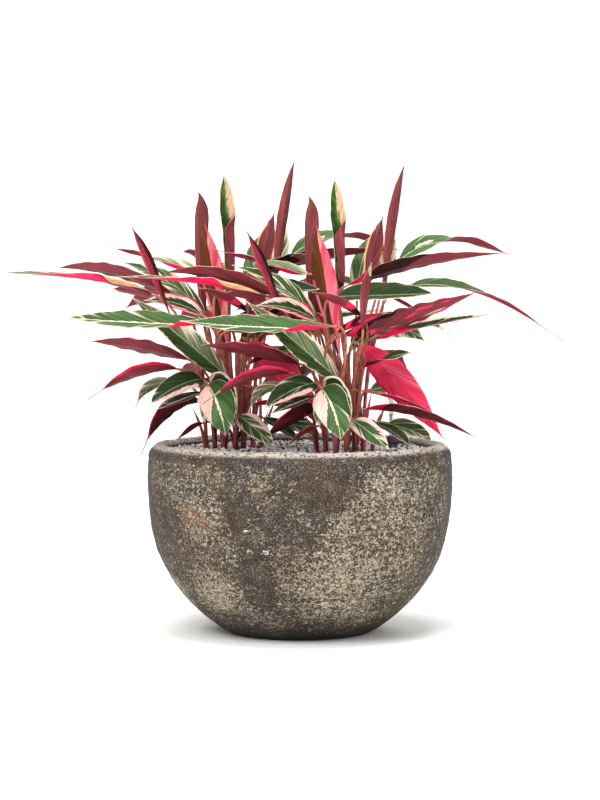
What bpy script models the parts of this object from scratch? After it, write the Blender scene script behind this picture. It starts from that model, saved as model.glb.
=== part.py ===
"""Potted stromanthe: two plants in one round ceramic bowl, with a water gauge.

The pieces are the bowl, the soil, the granules on top of it, the gauge (socket, tube and float),
one clump of canes and stalks for each plant, and one blade for each of the larger leaves.
The origin is the middle of the bowl's foot, +Z is up, and the front of the object faces -Y.
"""
import math
from typing import NamedTuple

import bmesh
import bpy
from mathutils import Vector
from mathutils.bvhtree import BVHTree

MM = 0.001
GAP = 0.0003                     # clearance kept between touching pieces
CUT_OVERSHOOT = 0.004            # how far a cutter runs past what it cuts
SHARP_ANGLE = math.radians(50.0)
MERGE = 0.00005                  # points closer than this on the turning axis become one

# bowl
BOWL_HEIGHT = 0.232
FOOT_RADIUS = 0.085
LIP_OUTER_RADIUS = 0.1815
BOWL_TURNS = 48                  # facets round the bowl
BOWL_OUTSIDE = (                 # radius and height, from inside the lip to the foot
    (0.1650, 0.2300), (0.1705, BOWL_HEIGHT), (0.1765, 0.2303), (LIP_OUTER_RADIUS, 0.2258),
    (0.1845, 0.2190), (0.1862, 0.2080), (0.1870, 0.1830), (0.1850, 0.1490), (0.1778, 0.1096),
    (0.1668, 0.0815), (0.1479, 0.0515), (0.1250, 0.0273), (0.1045, 0.0108), (0.0935, 0.0036),
    (FOOT_RADIUS, 0.0),
)
BOWL_WALL = (                    # radius and height of the inside, from the lip down
    (0.1610, 0.2250), (0.1615, 0.2030), (0.1595, 0.1400), (0.1520, 0.0900), (0.1290, 0.0500),
    (0.0850, 0.0290),
)
BOWL_FLOOR = 0.0220

# fillings
SOIL_FLOOR = 0.034
SOIL_TOP = 0.2145
GRANULE_TOP = 0.2235
GRANULE_SWELL = 0.0016           # height of the bumps on the granules
SWELL_PER_METRE = 290.0          # spacing of the bumps, in radians a metre
SWELL_MARGIN = 0.004             # level strip along the wall
FILL_TURNS = BOWL_TURNS          # in step with the bowl, so the facets stay parallel
GRANULE_RINGS = 5                # rings of bumps between the middle and the wall

# water gauge
GAUGE_X = 0.113
GAUGE_Y = 0.030
TUBE_OUTER_RADIUS = 0.0034
TUBE_INNER_RADIUS = 0.0026
TUBE_BOTTOM = 0.180
TUBE_TOP = 0.286
TUBE_CROWN = 0.0012              # thickness of the closed end
SOCKET_RADIUS = 0.0078
SOCKET_BOTTOM = 0.2165
SOCKET_TOP = 0.2375
FLOAT_ROD_RADIUS = 0.0010
FLOAT_MARK_RADIUS = TUBE_INNER_RADIUS - GAP
FLOAT_MARK_BOTTOM = 0.2610
FLOAT_MARK_TOP = 0.2665
FLOAT_FOOT_TOP = 0.190
FLOAT_BOTTOM = 0.182
GAUGE_CHAMFER = 0.0010
GAUGE_TURNS = 16

# plants
CROWN_FLOOR = SOIL_TOP + GAP
LEAF_DATUM = 0.232               # height that the leaves' points are measured from
CROWN_HEIGHT = 0.012
CROWN_TURNS = 20
CROWN_TAPER = 0.86               # top of the crown as a share of its foot
CROWN_ROOM = 0.0015              # clearance of the granules round a crown
CROWN_HOLE_HEIGHT = 0.020
CROWN_LENGTH = 0.040             # half-length from side to side
CROWN_DEPTH = 0.032              # half-length from front to back
FOOT_SINK = 0.006                # depth of a stalk's foot inside its crown
FOOT_REACH = 0.62                # share of the crown that the stalks' feet cover
CANE_RADII = (0.0048, 0.0041, 0.0026)
CANE_BOW = 0.006                 # how far a cane's middle rises above the straight line
STALK_FOOT_RADIUS = 0.0023
STALK_TOP_RADIUS = 0.0015
STEM_ROUNDNESS = 1               # bevel resolution of canes and stalks
STALK_RISE = 0.45                # how long a stalk holds its first, upright heading
STALK_ARRIVE = 0.30              # and its last, in line with the blade
STALK_STEPS = 4                  # bends along a stalk
STALK_NECK = 0.004               # straight end of a stalk, in line with its blade
STALK_SPREAD = 0.20              # how far a stalk's foot follows its blade outward
BACKWARD = 0.6                   # a leaf points backwards where its heading's share along +Y passes this
BLADE_RIB = 0.0008               # half-thickness at the midrib, by the stalk
BLADE_RIB_LOSS = 0.6             # share of it lost towards the tip
BLADE_EDGE = 0.00025             # half-thickness at the margin
BLADE_FOOT_HALF = 0.0013         # least half-width, by the stalk and at the tip
BLADE_TIP_HALF = 0.0004
BLADE_STATIONS = (0.0, 0.06, 0.15, 0.28, 0.43, 0.59, 0.75, 0.89, 1.0)
GAUGE_ROOM = 0.0012              # clearance between the gauge and the leaves
BOUNDS_ROOM = 0.003              # a little over the thickest stalk with its clearance
UNDER_SIDES = (3, 4)             # sides of a blade's section that lie underneath
CLEARANCE = 0.0007               # extra thickness used while leaves are kept apart


class Plant(NamedTuple):
    """One plant: its name, crown position and overall size."""

    name: str
    x: float
    y: float
    size: float


class Leaf(NamedTuple):
    """One leaf.

    base, middle and tip are points of the midrib in millimetres: right, back and up from the
    plant's crown at the soil.  roll is the turn of the upper face in degrees (0 to the front,
    90 up, 180 away from the front) at the base and at the tip, or on a leaf that points
    backwards its turn from upright; fold lifts the two halves.
    rise and fall shape the outline: the smaller the number, the fuller that end.
    """

    name: str
    base: tuple
    middle: tuple
    tip: tuple
    width: float
    roll_base: float
    roll_tip: float
    fold: float
    rise: float
    fall: float
    shade: str


PLANTS = (
    Plant("right", 0.0545, -0.035, 0.988),
    Plant("left", -0.0820, 0.035, 1.012),
)

LEAVES = (
    Leaf("front_broad", (-25, -60, 75), (-19, -108, 51), (-7, -118, 14),
         47, 2, 2, 8, 0.55, 0.75, "green"),
    Leaf("long_green", (-16, -90, 147), (-101, -125, 147), (-195, -150, 155),
         36, 74, 50, 24, 0.6, 0.9, "green"),
    Leaf("diagonal_green", (-8, -40, 81), (-55, -62, 123), (-122, -85, 179),
         37, 38, 35, 10, 0.6, 0.9, "green"),
    Leaf("crimson_fall", (18, -15, 122), (65, -35, 76), (118, -62, 11),
         40, 165, 165, 8, 0.5, 0.85, "crimson"),
    Leaf("broad_green", (-10, -20, 182), (47, -45, 184), (105, -70, 186),
         46, 62, 62, 20, 0.6, 0.9, "dark_green"),
    Leaf("bright_midrise", (-5, -20, 134), (75, -10, 155), (163, 0, 188),
         38, 114, 114, 10, 0.7, 0.9, "crimson"),
    Leaf("rolled_pink", (-8, -10, 111), (-24, -15, 192), (-36, -22, 271),
         38, 165, 178, 50, 0.9, 0.7, "pink"),
    Leaf("upright_split", (-6, 30, 168), (-8, 30, 248), (-15, 26, 325),
         36, 150, 40, 18, 0.8, 0.55, "green"),
    Leaf("tall_curl", (49, 45, 179), (60, 48, 271), (75, 50, 348),
         26, 172, 168, 58, 0.9, 0.5, "burgundy"),
    Leaf("tall_broad", (-38, 25, 147), (-44, 26, 230), (-43, 25, 305),
         32, 172, 165, 52, 1.1, 0.35, "burgundy"),
    Leaf("long_dark", (3, 15, 195), (90, 25, 221), (200, 35, 235),
         38, 122, 112, 14, 0.5, 0.9, "burgundy"),
    Leaf("arching_right", (69, 70, 226), (129, 78, 250), (206, 70, 233),
         34, 62, 116, 20, 0.6, 0.8, "green"),
    Leaf("spike_right", (20, -75, 142), (23, -82, 185), (30, -88, 223),
         18, 170, 170, 60, 0.9, 0.8, "burgundy"),
    Leaf("striped_right", (31, 15, 128), (99, 15, 144), (186, 18, 161),
         28, 76, 76, 30, 0.7, 0.9, "dark_green"),
    Leaf("long_fall", (75, 60, 193), (168, 62, 185), (274, 55, 124),
         26, 100, 84, 30, 0.6, 0.9, "burgundy"),
    Leaf("low_burgundy", (24, -35, 45), (87, -60, 41), (156, -90, 14),
         26, 118, 114, 12, 0.6, 0.9, "burgundy"),
    Leaf("low_striped", (9, -70, 34), (29, -95, 20), (50, -110, 2),
         27, 30, 30, 10, 0.6, 0.8, "green"),
    Leaf("left_front", (-38, -55, 78), (-66, -80, 70), (-97, -100, 50),
         34, 48, 45, 16, 0.6, 0.8, "dark_green"),
    Leaf("left_pink_edge", (-67, -40, 89), (-118, -65, 84), (-171, -95, 55),
         28, 114, 118, 15, 0.6, 0.9, "burgundy"),
    Leaf("left_burgundy", (-55, -10, 99), (-115, -20, 115), (-175, -30, 123),
         32, 122, 122, 10, 0.6, 0.9, "burgundy"),
    Leaf("upper_striped", (-36, 0, 158), (-75, -20, 192), (-137, -40, 220),
         32, 56, 56, 14, 0.6, 0.9, "green"),
    Leaf("longest_left", (-96, -65, 180), (-173, -90, 198), (-273, -120, 206),
         30, 112, 92, 24, 0.6, 0.9, "pink"),
    Leaf("dark_left", (-76, -15, 180), (-152, 10, 206), (-221, 30, 211),
         36, 120, 114, 14, 0.5, 0.9, "burgundy"),
    Leaf("back_left", (-20, 60, 150), (-45, 115, 160), (-75, 165, 125),
         40, -12, 8, 14, 0.6, 0.9, "green"),
    Leaf("back_right", (25, 55, 110), (55, 105, 105), (80, 150, 60),
         38, 10, -8, 14, 0.6, 0.9, "green"),
)

# one leaf that differs: the left plant's reaches over the bowl's lip
OWN_LEAVES = {
    "right": Leaf("low_dark", (-38, -10, 42), (-63, -20, 34), (-96, -35, 12),
                  30, 124, 124, 12, 0.6, 0.8, "burgundy"),
    "left": Leaf("over_lip", (-39, -22, 48), (-80, -30, 38), (-112, -38, -16),
                 28, 124, 124, 10, 0.6, 0.8, "burgundy"),
}

# canes of one crown: foot and top in millimetres from the crown at the soil
CANES = (
    ((-20, -8, 4), (-34, -14, 96)),
    ((-8, 6, 4), (-12, 14, 142)),
    ((0, -10, 4), (-2, -22, 118)),
    ((9, 3, 4), (12, 8, 150)),
    ((20, -4, 4), (34, -8, 104)),
    ((-2, 16, 4), (-4, 34, 120)),
    ((15, 14, 4), (26, 30, 112)),
)

SHADES = {
    "green": (0.150, 0.270, 0.110),
    "dark_green": (0.060, 0.130, 0.050),
    "burgundy": (0.170, 0.040, 0.050),
    "crimson": (0.580, 0.040, 0.090),
    "pink": (0.560, 0.130, 0.150),
}


def clear_scene() -> None:
    """Remove every object the file starts with."""
    for thing in list(bpy.data.objects):
        bpy.data.objects.remove(thing, do_unlink=True)


def make_collection(name: str) -> bpy.types.Collection:
    """Add a collection to the scene and return it."""
    group = bpy.data.collections.new(name)
    bpy.context.scene.collection.children.link(group)
    return group


def finish(name: str, colour: tuple, roughness: float, metallic: float = 0.0,
           see_through: float = 0.0) -> bpy.types.Material:
    """Make a Principled material."""
    material = bpy.data.materials.new(name)
    material.use_nodes = True
    shader = material.node_tree.nodes["Principled BSDF"]
    shader.inputs["Base Color"].default_value = (*colour, 1.0)
    shader.inputs["Roughness"].default_value = roughness
    shader.inputs["Metallic"].default_value = metallic
    shader.inputs["Transmission Weight"].default_value = see_through
    return material


def add_object(name: str, mesh: bpy.types.Mesh, group: bpy.types.Collection,
               material: bpy.types.Material = None) -> bpy.types.Object:
    """Place a mesh in a collection as an object of its own."""
    thing = bpy.data.objects.new(name, mesh)
    group.objects.link(thing)
    if material is not None:
        mesh.materials.clear()
        mesh.materials.append(material)
    return thing


def turned(name: str, profile: list, turns: int, group: bpy.types.Collection,
           material: bpy.types.Material = None, centre: tuple = (0.0, 0.0)) -> bpy.types.Object:
    """Turn a profile of (radius, height) pairs, top to bottom on the outer side, round +Z."""
    mesh = bpy.data.meshes.new(name)
    points = [(radius, 0.0, height) for radius, height in profile]
    edges = [(index, index + 1) for index in range(len(points) - 1)
             if points[index][0] > 0.0 or points[index + 1][0] > 0.0]
    if points[0][0] > 0.0:
        edges.append((len(points) - 1, 0))
    mesh.from_pydata(points, edges, [])
    thing = add_object(name, mesh, group, material)
    thing.location = (centre[0], centre[1], 0.0)
    screw = thing.modifiers.new("Turn", "SCREW")
    screw.steps = turns
    screw.render_steps = turns
    screw.use_merge_vertices = True
    screw.merge_threshold = MERGE
    return thing


def cut(target: bpy.types.Object, cutter: bpy.types.Object) -> None:
    """Take one piece away from another with an exact Boolean."""
    cutter.hide_render = True
    cutter.display_type = "WIRE"
    modifier = target.modifiers.new("Cut " + cutter.name, "BOOLEAN")
    modifier.operation = "DIFFERENCE"
    modifier.solver = "EXACT"
    modifier.object = cutter


def bowl_outline(radius_offset: float, floor: float, top: float) -> list:
    """Inner wall of the bowl from the top down to the floor, drawn in by an offset."""
    inner = [(radius - radius_offset, height) for radius, height in BOWL_WALL
             if floor < height < top]
    upper = [point for point in BOWL_WALL if point[1] >= top][-1]
    lower = [point for point in BOWL_WALL if point[1] < top][0]
    share = (top - lower[1]) / (upper[1] - lower[1])
    edge = lower[0] + (upper[0] - lower[0]) * share
    return [(edge - radius_offset, top)] + inner


def make_bowl(group: bpy.types.Collection) -> None:
    """The round bowl: rounded lip, near-upright side, round shoulder, flat foot."""
    outside = list(BOWL_OUTSIDE) + [(0.0, 0.0)]
    inside = [(0.0, BOWL_FLOOR)] + list(reversed(BOWL_WALL))
    turned("planter_bowl", outside + inside, BOWL_TURNS, group,
           finish("rough_ceramic", (0.115, 0.095, 0.075), 0.85))


def make_fillings(group: bpy.types.Collection, cutters: bpy.types.Collection) -> None:
    """The soil, the granules over it, and the holes that the crowns and the gauge stand in."""
    soil_profile = [(0.0, SOIL_TOP)] + bowl_outline(GAP, SOIL_FLOOR, SOIL_TOP) + [(0.0, SOIL_FLOOR)]
    soil = turned("substrate", soil_profile, FILL_TURNS, group,
                  finish("potting_soil", (0.020, 0.013, 0.009), 0.95))
    shaft = turned("gauge_shaft", [
        (0.0, GRANULE_TOP + CUT_OVERSHOOT), (TUBE_OUTER_RADIUS + GAP, GRANULE_TOP + CUT_OVERSHOOT),
        (TUBE_OUTER_RADIUS + GAP, TUBE_BOTTOM - GAP), (0.0, TUBE_BOTTOM - GAP),
    ], GAUGE_TURNS, cutters, centre=(GAUGE_X, GAUGE_Y))
    cut(soil, shaft)

    outer = bowl_outline(GAP, SOIL_TOP + GAP, GRANULE_TOP)[0][0]
    mesh = bpy.data.meshes.new("top_granules")
    lump = bmesh.new()
    floor_z = SOIL_TOP + GAP
    bmesh.ops.create_circle(lump, cap_ends=True, segments=FILL_TURNS, radius=outer)
    bmesh.ops.translate(lump, verts=lump.verts, vec=(0.0, 0.0, floor_z))
    face = lump.faces[:]
    side = bmesh.ops.extrude_face_region(lump, geom=face)
    top_verts = [item for item in side["geom"] if isinstance(item, bmesh.types.BMVert)]
    bmesh.ops.translate(lump, verts=top_verts, vec=(0.0, 0.0, GRANULE_TOP - floor_z))
    top_face = [item for item in side["geom"] if isinstance(item, bmesh.types.BMFace)]
    for _ in range(GRANULE_RINGS):
        bmesh.ops.inset_individual(lump, faces=top_face, thickness=outer / (GRANULE_RINGS + 1))
    bmesh.ops.triangulate(lump, faces=[poly for poly in lump.faces if len(poly.verts) > 4])
    for vert in lump.verts:
        inward = outer - math.hypot(vert.co.x, vert.co.y)
        if vert.co.z > floor_z + GAP and inward > SWELL_MARGIN:
            wave = math.sin(vert.co.x * SWELL_PER_METRE) * math.cos(vert.co.y * SWELL_PER_METRE + 1.0)
            vert.co.z += GRANULE_SWELL * wave
    bmesh.ops.recalc_face_normals(lump, faces=lump.faces)
    lump.to_mesh(mesh)
    lump.free()
    granules = add_object("top_granules", mesh, group,
                          finish("mineral_granules", (0.560, 0.560, 0.540), 0.9))
    for plant in PLANTS:
        hole = crown_lump("crown_hole_" + plant.name, plant, CROWN_ROOM, SOIL_TOP - CUT_OVERSHOOT,
                          CROWN_HOLE_HEIGHT, cutters)
        cut(granules, hole)
    seat = turned("gauge_seat", [
        (0.0, GRANULE_TOP + CUT_OVERSHOOT), (SOCKET_RADIUS + GAP, GRANULE_TOP + CUT_OVERSHOOT),
        (SOCKET_RADIUS + GAP, SOCKET_BOTTOM - GAP),
        (TUBE_OUTER_RADIUS + GAP, SOCKET_BOTTOM - GAP),
        (TUBE_OUTER_RADIUS + GAP, SOIL_TOP - CUT_OVERSHOOT), (0.0, SOIL_TOP - CUT_OVERSHOOT),
    ], GAUGE_TURNS, cutters, centre=(GAUGE_X, GAUGE_Y))
    cut(granules, seat)


def crown_lump(name: str, plant: Plant, grow: float, floor: float, height: float,
               group: bpy.types.Collection, material: bpy.types.Material = None
               ) -> bpy.types.Object:
    """The low oval crown a plant's stems rise from, or the hole that clears it."""
    mesh = bpy.data.meshes.new(name)
    lump = bmesh.new()
    bmesh.ops.create_cone(lump, cap_ends=True, segments=CROWN_TURNS, radius1=1.0,
                          radius2=CROWN_TAPER, depth=1.0)
    bmesh.ops.translate(lump, verts=lump.verts, vec=(0.0, 0.0, 0.5))
    size = (CROWN_LENGTH * plant.size + grow, CROWN_DEPTH * plant.size + grow, height)
    bmesh.ops.scale(lump, verts=lump.verts, vec=size)
    lump.to_mesh(mesh)
    lump.free()
    crown = add_object(name, mesh, group, material)
    crown.location = (plant.x, plant.y, floor)
    return crown


def make_gauge(group: bpy.types.Collection) -> None:
    """The water gauge: collar, clear tube closed at the top, and the float inside it."""
    centre = (GAUGE_X, GAUGE_Y)
    bore = TUBE_OUTER_RADIUS + GAP
    turned("gauge_socket", [
        (bore, SOCKET_TOP), (SOCKET_RADIUS - GAUGE_CHAMFER, SOCKET_TOP),
        (SOCKET_RADIUS, SOCKET_TOP - GAUGE_CHAMFER), (SOCKET_RADIUS, SOCKET_BOTTOM),
        (bore, SOCKET_BOTTOM),
    ], GAUGE_TURNS, group, finish("dark_plastic", (0.020, 0.014, 0.022), 0.45), centre)
    turned("gauge_tube", [
        (0.0, TUBE_TOP), (TUBE_OUTER_RADIUS - GAUGE_CHAMFER, TUBE_TOP),
        (TUBE_OUTER_RADIUS, TUBE_TOP - GAUGE_CHAMFER), (TUBE_OUTER_RADIUS, TUBE_BOTTOM),
        (TUBE_INNER_RADIUS, TUBE_BOTTOM), (TUBE_INNER_RADIUS, TUBE_TOP - TUBE_CROWN),
        (0.0, TUBE_TOP - TUBE_CROWN),
    ], GAUGE_TURNS, group, finish("clear_plastic", (0.70, 0.72, 0.72), 0.15, 0.0, 0.8), centre)
    turned("gauge_float", [
        (0.0, FLOAT_MARK_TOP), (FLOAT_MARK_RADIUS, FLOAT_MARK_TOP),
        (FLOAT_MARK_RADIUS, FLOAT_MARK_BOTTOM), (FLOAT_ROD_RADIUS, FLOAT_MARK_BOTTOM),
        (FLOAT_ROD_RADIUS, FLOAT_FOOT_TOP), (FLOAT_MARK_RADIUS, FLOAT_FOOT_TOP),
        (FLOAT_MARK_RADIUS, FLOAT_BOTTOM), (0.0, FLOAT_BOTTOM),
    ], GAUGE_TURNS, group, finish("yellow_plastic", (0.62, 0.38, 0.05), 0.5), centre)


class Placed:
    """A leaf set in its plant: midrib, frame and stalk, in metres in the object's frame."""

    def __init__(self, plant: Plant, leaf: Leaf, base_push: float, tip_push: float,
                 raised: float) -> None:
        self.plant = plant
        self.leaf = leaf
        origin = Vector((plant.x, plant.y, LEAF_DATUM))
        pushes = (base_push, (base_push + tip_push) / 2.0, tip_push)
        spots = []
        for point, push in zip((leaf.base, leaf.middle, leaf.tip), pushes):
            spots.append(origin + Vector(point) * MM * plant.size + Vector((0.0, push, raised)))
        self.base, middle, self.tip = spots
        self.handle = middle * 2.0 - (self.base + self.tip) / 2.0
        crown_side = Vector((leaf.base[0], leaf.base[1], 0.0)) * MM * STALK_SPREAD
        reach = math.hypot(crown_side.x / CROWN_LENGTH, crown_side.y / CROWN_DEPTH) / FOOT_REACH
        if reach > 1.0:
            crown_side /= reach
        self.foot = Vector((plant.x, plant.y, CROWN_FLOOR + FOOT_SINK)) + crown_side

    def along(self, share: float) -> Vector:
        """Point of the midrib at a share of its length."""
        rest = 1.0 - share
        return self.base * rest * rest + self.handle * 2.0 * share * rest + self.tip * share * share

    def heading(self, share: float) -> Vector:
        """Direction of the midrib at a share of its length."""
        start = (self.handle - self.base) * (1.0 - share)
        return (start + (self.tip - self.handle) * share).normalized()

    def half_width(self, share: float) -> float:
        """Half of the blade's width at a share of its length."""
        rise = self.leaf.rise
        fall = self.leaf.fall
        peak = rise / (rise + fall)
        full = peak ** rise * (1.0 - peak) ** fall
        shape = share ** rise * (1.0 - share) ** fall / full
        return shape * self.leaf.width * MM * self.plant.size / 2.0

    def section(self, share: float, extra: float) -> list:
        """The six corners of the blade's section at a share of its length."""
        chord = (self.tip - self.base).normalized()
        front = Vector((0.0, 0.0, 1.0) if chord.y > BACKWARD else (0.0, -1.0, 0.0))
        tilt = chord.cross(front - chord * front.dot(chord)).z
        lift = -1.0 if tilt < -MERGE else 1.0
        heading = self.heading(share)
        facing = (front - heading * front.dot(heading)).normalized()
        upward = heading.cross(facing) * lift
        ease = share * share * (3.0 - 2.0 * share)
        roll = math.radians(self.leaf.roll_base + (self.leaf.roll_tip - self.leaf.roll_base) * ease)
        normal = facing * math.cos(roll) + upward * math.sin(roll)
        across = upward * math.cos(roll) - facing * math.sin(roll)
        fold = math.radians(self.leaf.fold)
        least = BLADE_FOOT_HALF if share < 0.5 else BLADE_TIP_HALF
        half = max(self.half_width(share), least)
        first = (across * math.cos(fold) + normal * math.sin(fold)) * half
        second = (normal * math.sin(fold) - across * math.cos(fold)) * half
        rib = normal * (BLADE_RIB * (1.0 - BLADE_RIB_LOSS * share) + extra)
        edge = normal * (BLADE_EDGE + extra)
        centre = self.along(share)
        return [centre + first + edge, centre + rib, centre + second + edge,
                centre + second - edge, centre - rib, centre + first - edge]

    def blade(self, extra: float = 0.0) -> tuple:
        """Corners and triangles of the whole blade."""
        corners = []
        for share in BLADE_STATIONS:
            corners += self.section(share, extra)
        faces = []
        for ring in range(len(BLADE_STATIONS) - 1):
            for side in range(6):
                here = ring * 6 + side
                beside = ring * 6 + (side + 1) % 6
                if side in UNDER_SIDES:
                    faces.append((here, beside, here + 6))
                    faces.append((beside, beside + 6, here + 6))
                else:
                    faces.append((here, beside, beside + 6))
                    faces.append((here, beside + 6, here + 6))
        last = 6 * (len(BLADE_STATIONS) - 1)
        for one, two, three in ((0, 1, 4), (0, 4, 5), (1, 2, 3), (1, 3, 4)):
            faces.append((three, two, one))
            faces.append((last + one, last + two, last + three))
        return corners, faces

    def stalk_points(self) -> list:
        """Middle line of the stalk, from the crown to just below the blade."""
        heading = self.heading(0.0)
        end = self.base - heading * GAP
        neck = end - heading * STALK_NECK
        length = (neck - self.foot).length
        rise = self.foot + Vector((0.0, 0.0, length * STALK_RISE))
        arrive = neck - heading * length * STALK_ARRIVE
        points = []
        for step in range(STALK_STEPS + 1):
            share = step / STALK_STEPS
            rest = 1.0 - share
            points.append(self.foot * rest ** 3 + rise * 3.0 * share * rest * rest
                          + arrive * 3.0 * share * share * rest + neck * share ** 3)
        points.append(end)
        return points


def tube_tree(points: list, radius: float) -> BVHTree:
    """A search tree over a plain five-sided tube, used only to keep leaves apart."""
    corners = []
    for index, point in enumerate(points):
        before = points[max(index - 1, 0)]
        after = points[min(index + 1, len(points) - 1)]
        heading = (after - before).normalized()
        side = heading.orthogonal().normalized()
        other = heading.cross(side)
        for corner in range(5):
            turn = math.tau * corner / 5.0
            corners.append(point + (side * math.cos(turn) + other * math.sin(turn)) * radius)
    faces = []
    for ring in range(len(points) - 1):
        for corner in range(5):
            here = ring * 5 + corner
            beside = ring * 5 + (corner + 1) % 5
            faces.append((here, beside, beside + 5, here + 5))
    return BVHTree.FromPolygons(corners, faces)


class Bounds:
    """An upright box round some points, for quick tests."""

    def __init__(self, points: list) -> None:
        self.low = [min(point[axis] for point in points) - BOUNDS_ROOM for axis in range(3)]
        self.high = [max(point[axis] for point in points) + BOUNDS_ROOM for axis in range(3)]

    def meets(self, other: "Bounds") -> bool:
        """True where the two boxes share some space."""
        return all(self.low[axis] <= other.high[axis] and other.low[axis] <= self.high[axis]
                   for axis in range(3))


def cane_points(plant: Plant) -> list:
    """Middle lines of one plant's canes."""
    origin = Vector((plant.x, plant.y, CROWN_FLOOR))
    lines = []
    for foot, top in CANES:
        start = origin + Vector(foot) * MM * plant.size
        end = origin + Vector(top) * MM * plant.size
        bend = (start + end) / 2.0 + Vector((0.0, 0.0, CANE_BOW))
        lines.append([start, bend, end])
    return lines


def pushes() -> list:
    """Front-to-back shifts of a leaf's base and tip and its raise, the smallest first."""
    steps = []
    for base in (0, 7, -7, 14, -14, 21, -21, 28, -28):
        for tip in range(-72, 73, 8):
            for raised in (0, 5, -5, 10, 16):
                cost = abs(base) * 2 + abs(tip) + abs(raised) * 5
                steps.append((cost, base * MM, tip * MM, raised * MM))
    steps.sort(key=lambda step: step[0])
    return [step[1:] for step in steps]


def obstacles() -> list:
    """The bowl, the granules and the gauge, as things the leaves keep clear of."""
    state = bpy.context.evaluated_depsgraph_get()
    found = []
    for name in ("planter_bowl", "top_granules"):
        thing = bpy.data.objects[name]
        corners = [vert.co.copy() for vert in thing.evaluated_get(state).data.vertices]
        found.append((BVHTree.FromObject(thing, state), Bounds(corners), None))
    for low, high, radius in ((SOCKET_BOTTOM, SOCKET_TOP, SOCKET_RADIUS),
                              (SOCKET_TOP, TUBE_TOP, TUBE_OUTER_RADIUS)):
        middle = (low + high) / 2.0
        line = [Vector((GAUGE_X, GAUGE_Y, height)) for height in (low, middle, high)]
        found.append((tube_tree(line, radius + GAUGE_ROOM), Bounds(line), None))
    return found


def arrange() -> list:
    """Set every leaf of both plants so that no blade meets a blade, a stalk or a cane."""
    blades = []
    stalks = []
    fixed = obstacles()
    for plant in PLANTS:
        for line in cane_points(plant):
            stalks.append((tube_tree(line, CANE_RADII[0] + CLEARANCE), Bounds(line), None))
    placed = []
    wanted = [(plant, OWN_LEAVES[plant.name]) for plant in PLANTS]
    wanted += [(plant, leaf) for leaf in LEAVES for plant in PLANTS]
    for plant, leaf in wanted:
        for base_push, tip_push, raised in pushes():
            trial = Placed(plant, leaf, base_push, tip_push, raised)
            corners, faces = trial.blade(CLEARANCE)
            box = Bounds(corners)
            tree = BVHTree.FromPolygons(corners, faces)
            line = trial.stalk_points()
            stalk_box = Bounds(line)
            stalk = tube_tree(line, STALK_FOOT_RADIUS + CLEARANCE)
            own = tube_tree(line[:-2], STALK_FOOT_RADIUS)
            clear = not own.overlap(tree)
            clear = clear and all(not (box.meets(other_box) and tree.overlap(other))
                                  for other, other_box, _ in fixed + blades + stalks)
            clear = clear and all(not (stalk_box.meets(other_box) and stalk.overlap(other))
                                  for other, other_box, _ in blades)
            if clear:
                blades.append((tree, box, trial))
                stalks.append((stalk, stalk_box, trial))
                placed.append(trial)
                break
        else:
            raise ValueError("no free place for " + leaf.name + " on the plant " + plant.name)
    return placed


def stem_curve(name: str, points: list, radii: list,
               group: bpy.types.Collection) -> bpy.types.Object:
    """A tapering round stem along a line, as a closed mesh."""
    curve = bpy.data.curves.new(name, "CURVE")
    curve.dimensions = "3D"
    curve.bevel_depth = 1.0
    curve.bevel_resolution = STEM_ROUNDNESS
    curve.use_fill_caps = True
    spline = curve.splines.new("POLY")
    spline.points.add(len(points) - 1)
    for spot, point, radius in zip(spline.points, points, radii):
        spot.co = (*point, 1.0)
        spot.radius = radius
    stem = bpy.data.objects.new(name, curve)
    group.objects.link(stem)
    bpy.context.view_layer.update()
    mesh = bpy.data.meshes.new_from_object(stem.evaluated_get(bpy.context.evaluated_depsgraph_get()))
    bpy.data.objects.remove(stem, do_unlink=True)
    solid = bmesh.new()
    solid.from_mesh(mesh)
    bmesh.ops.remove_doubles(solid, verts=solid.verts, dist=0.00001)
    bmesh.ops.recalc_face_normals(solid, faces=solid.faces)
    solid.to_mesh(mesh)
    solid.free()
    return add_object(name, mesh, group)


def make_clump(plant: Plant, placed: list, frame: bpy.types.Object,
               group: bpy.types.Collection, cutters: bpy.types.Collection) -> None:
    """Crown, canes and leaf stalks of one plant, joined into one body."""
    clump = crown_lump("stem_clump_" + plant.name, plant, 0.0, CROWN_FLOOR, CROWN_HEIGHT, group,
                       finish("burgundy_stems_" + plant.name, (0.200, 0.055, 0.045), 0.5))
    clump.parent = frame
    clump.location -= frame.location
    clump.data.shade_smooth()
    stems = []
    for index, line in enumerate(cane_points(plant)):
        stems.append(stem_curve("cane_%s_%d" % (plant.name, index), line, CANE_RADII, cutters))
    for leaf in placed:
        if leaf.plant is not plant:
            continue
        points = leaf.stalk_points()
        last = len(points) - 1
        radii = [STALK_FOOT_RADIUS + (STALK_TOP_RADIUS - STALK_FOOT_RADIUS) * step / last
                 for step in range(len(points))]
        name = "stalk_%s_%s" % (plant.name, leaf.leaf.name)
        stems.append(stem_curve(name, points, radii, cutters))
    for stem in stems:
        stem.hide_render = True
        stem.display_type = "WIRE"
        modifier = clump.modifiers.new("Join " + stem.name, "BOOLEAN")
        modifier.operation = "UNION"
        modifier.solver = "EXACT"
        modifier.object = stem


def plant_frame(plant: Plant, group: bpy.types.Collection) -> bpy.types.Object:
    """The empty that carries one plant, at its crown on the soil."""
    frame = bpy.data.objects.new("plant_" + plant.name, None)
    frame.empty_display_size = 0.05
    frame.location = (plant.x, plant.y, SOIL_TOP)
    group.objects.link(frame)
    return frame


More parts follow.
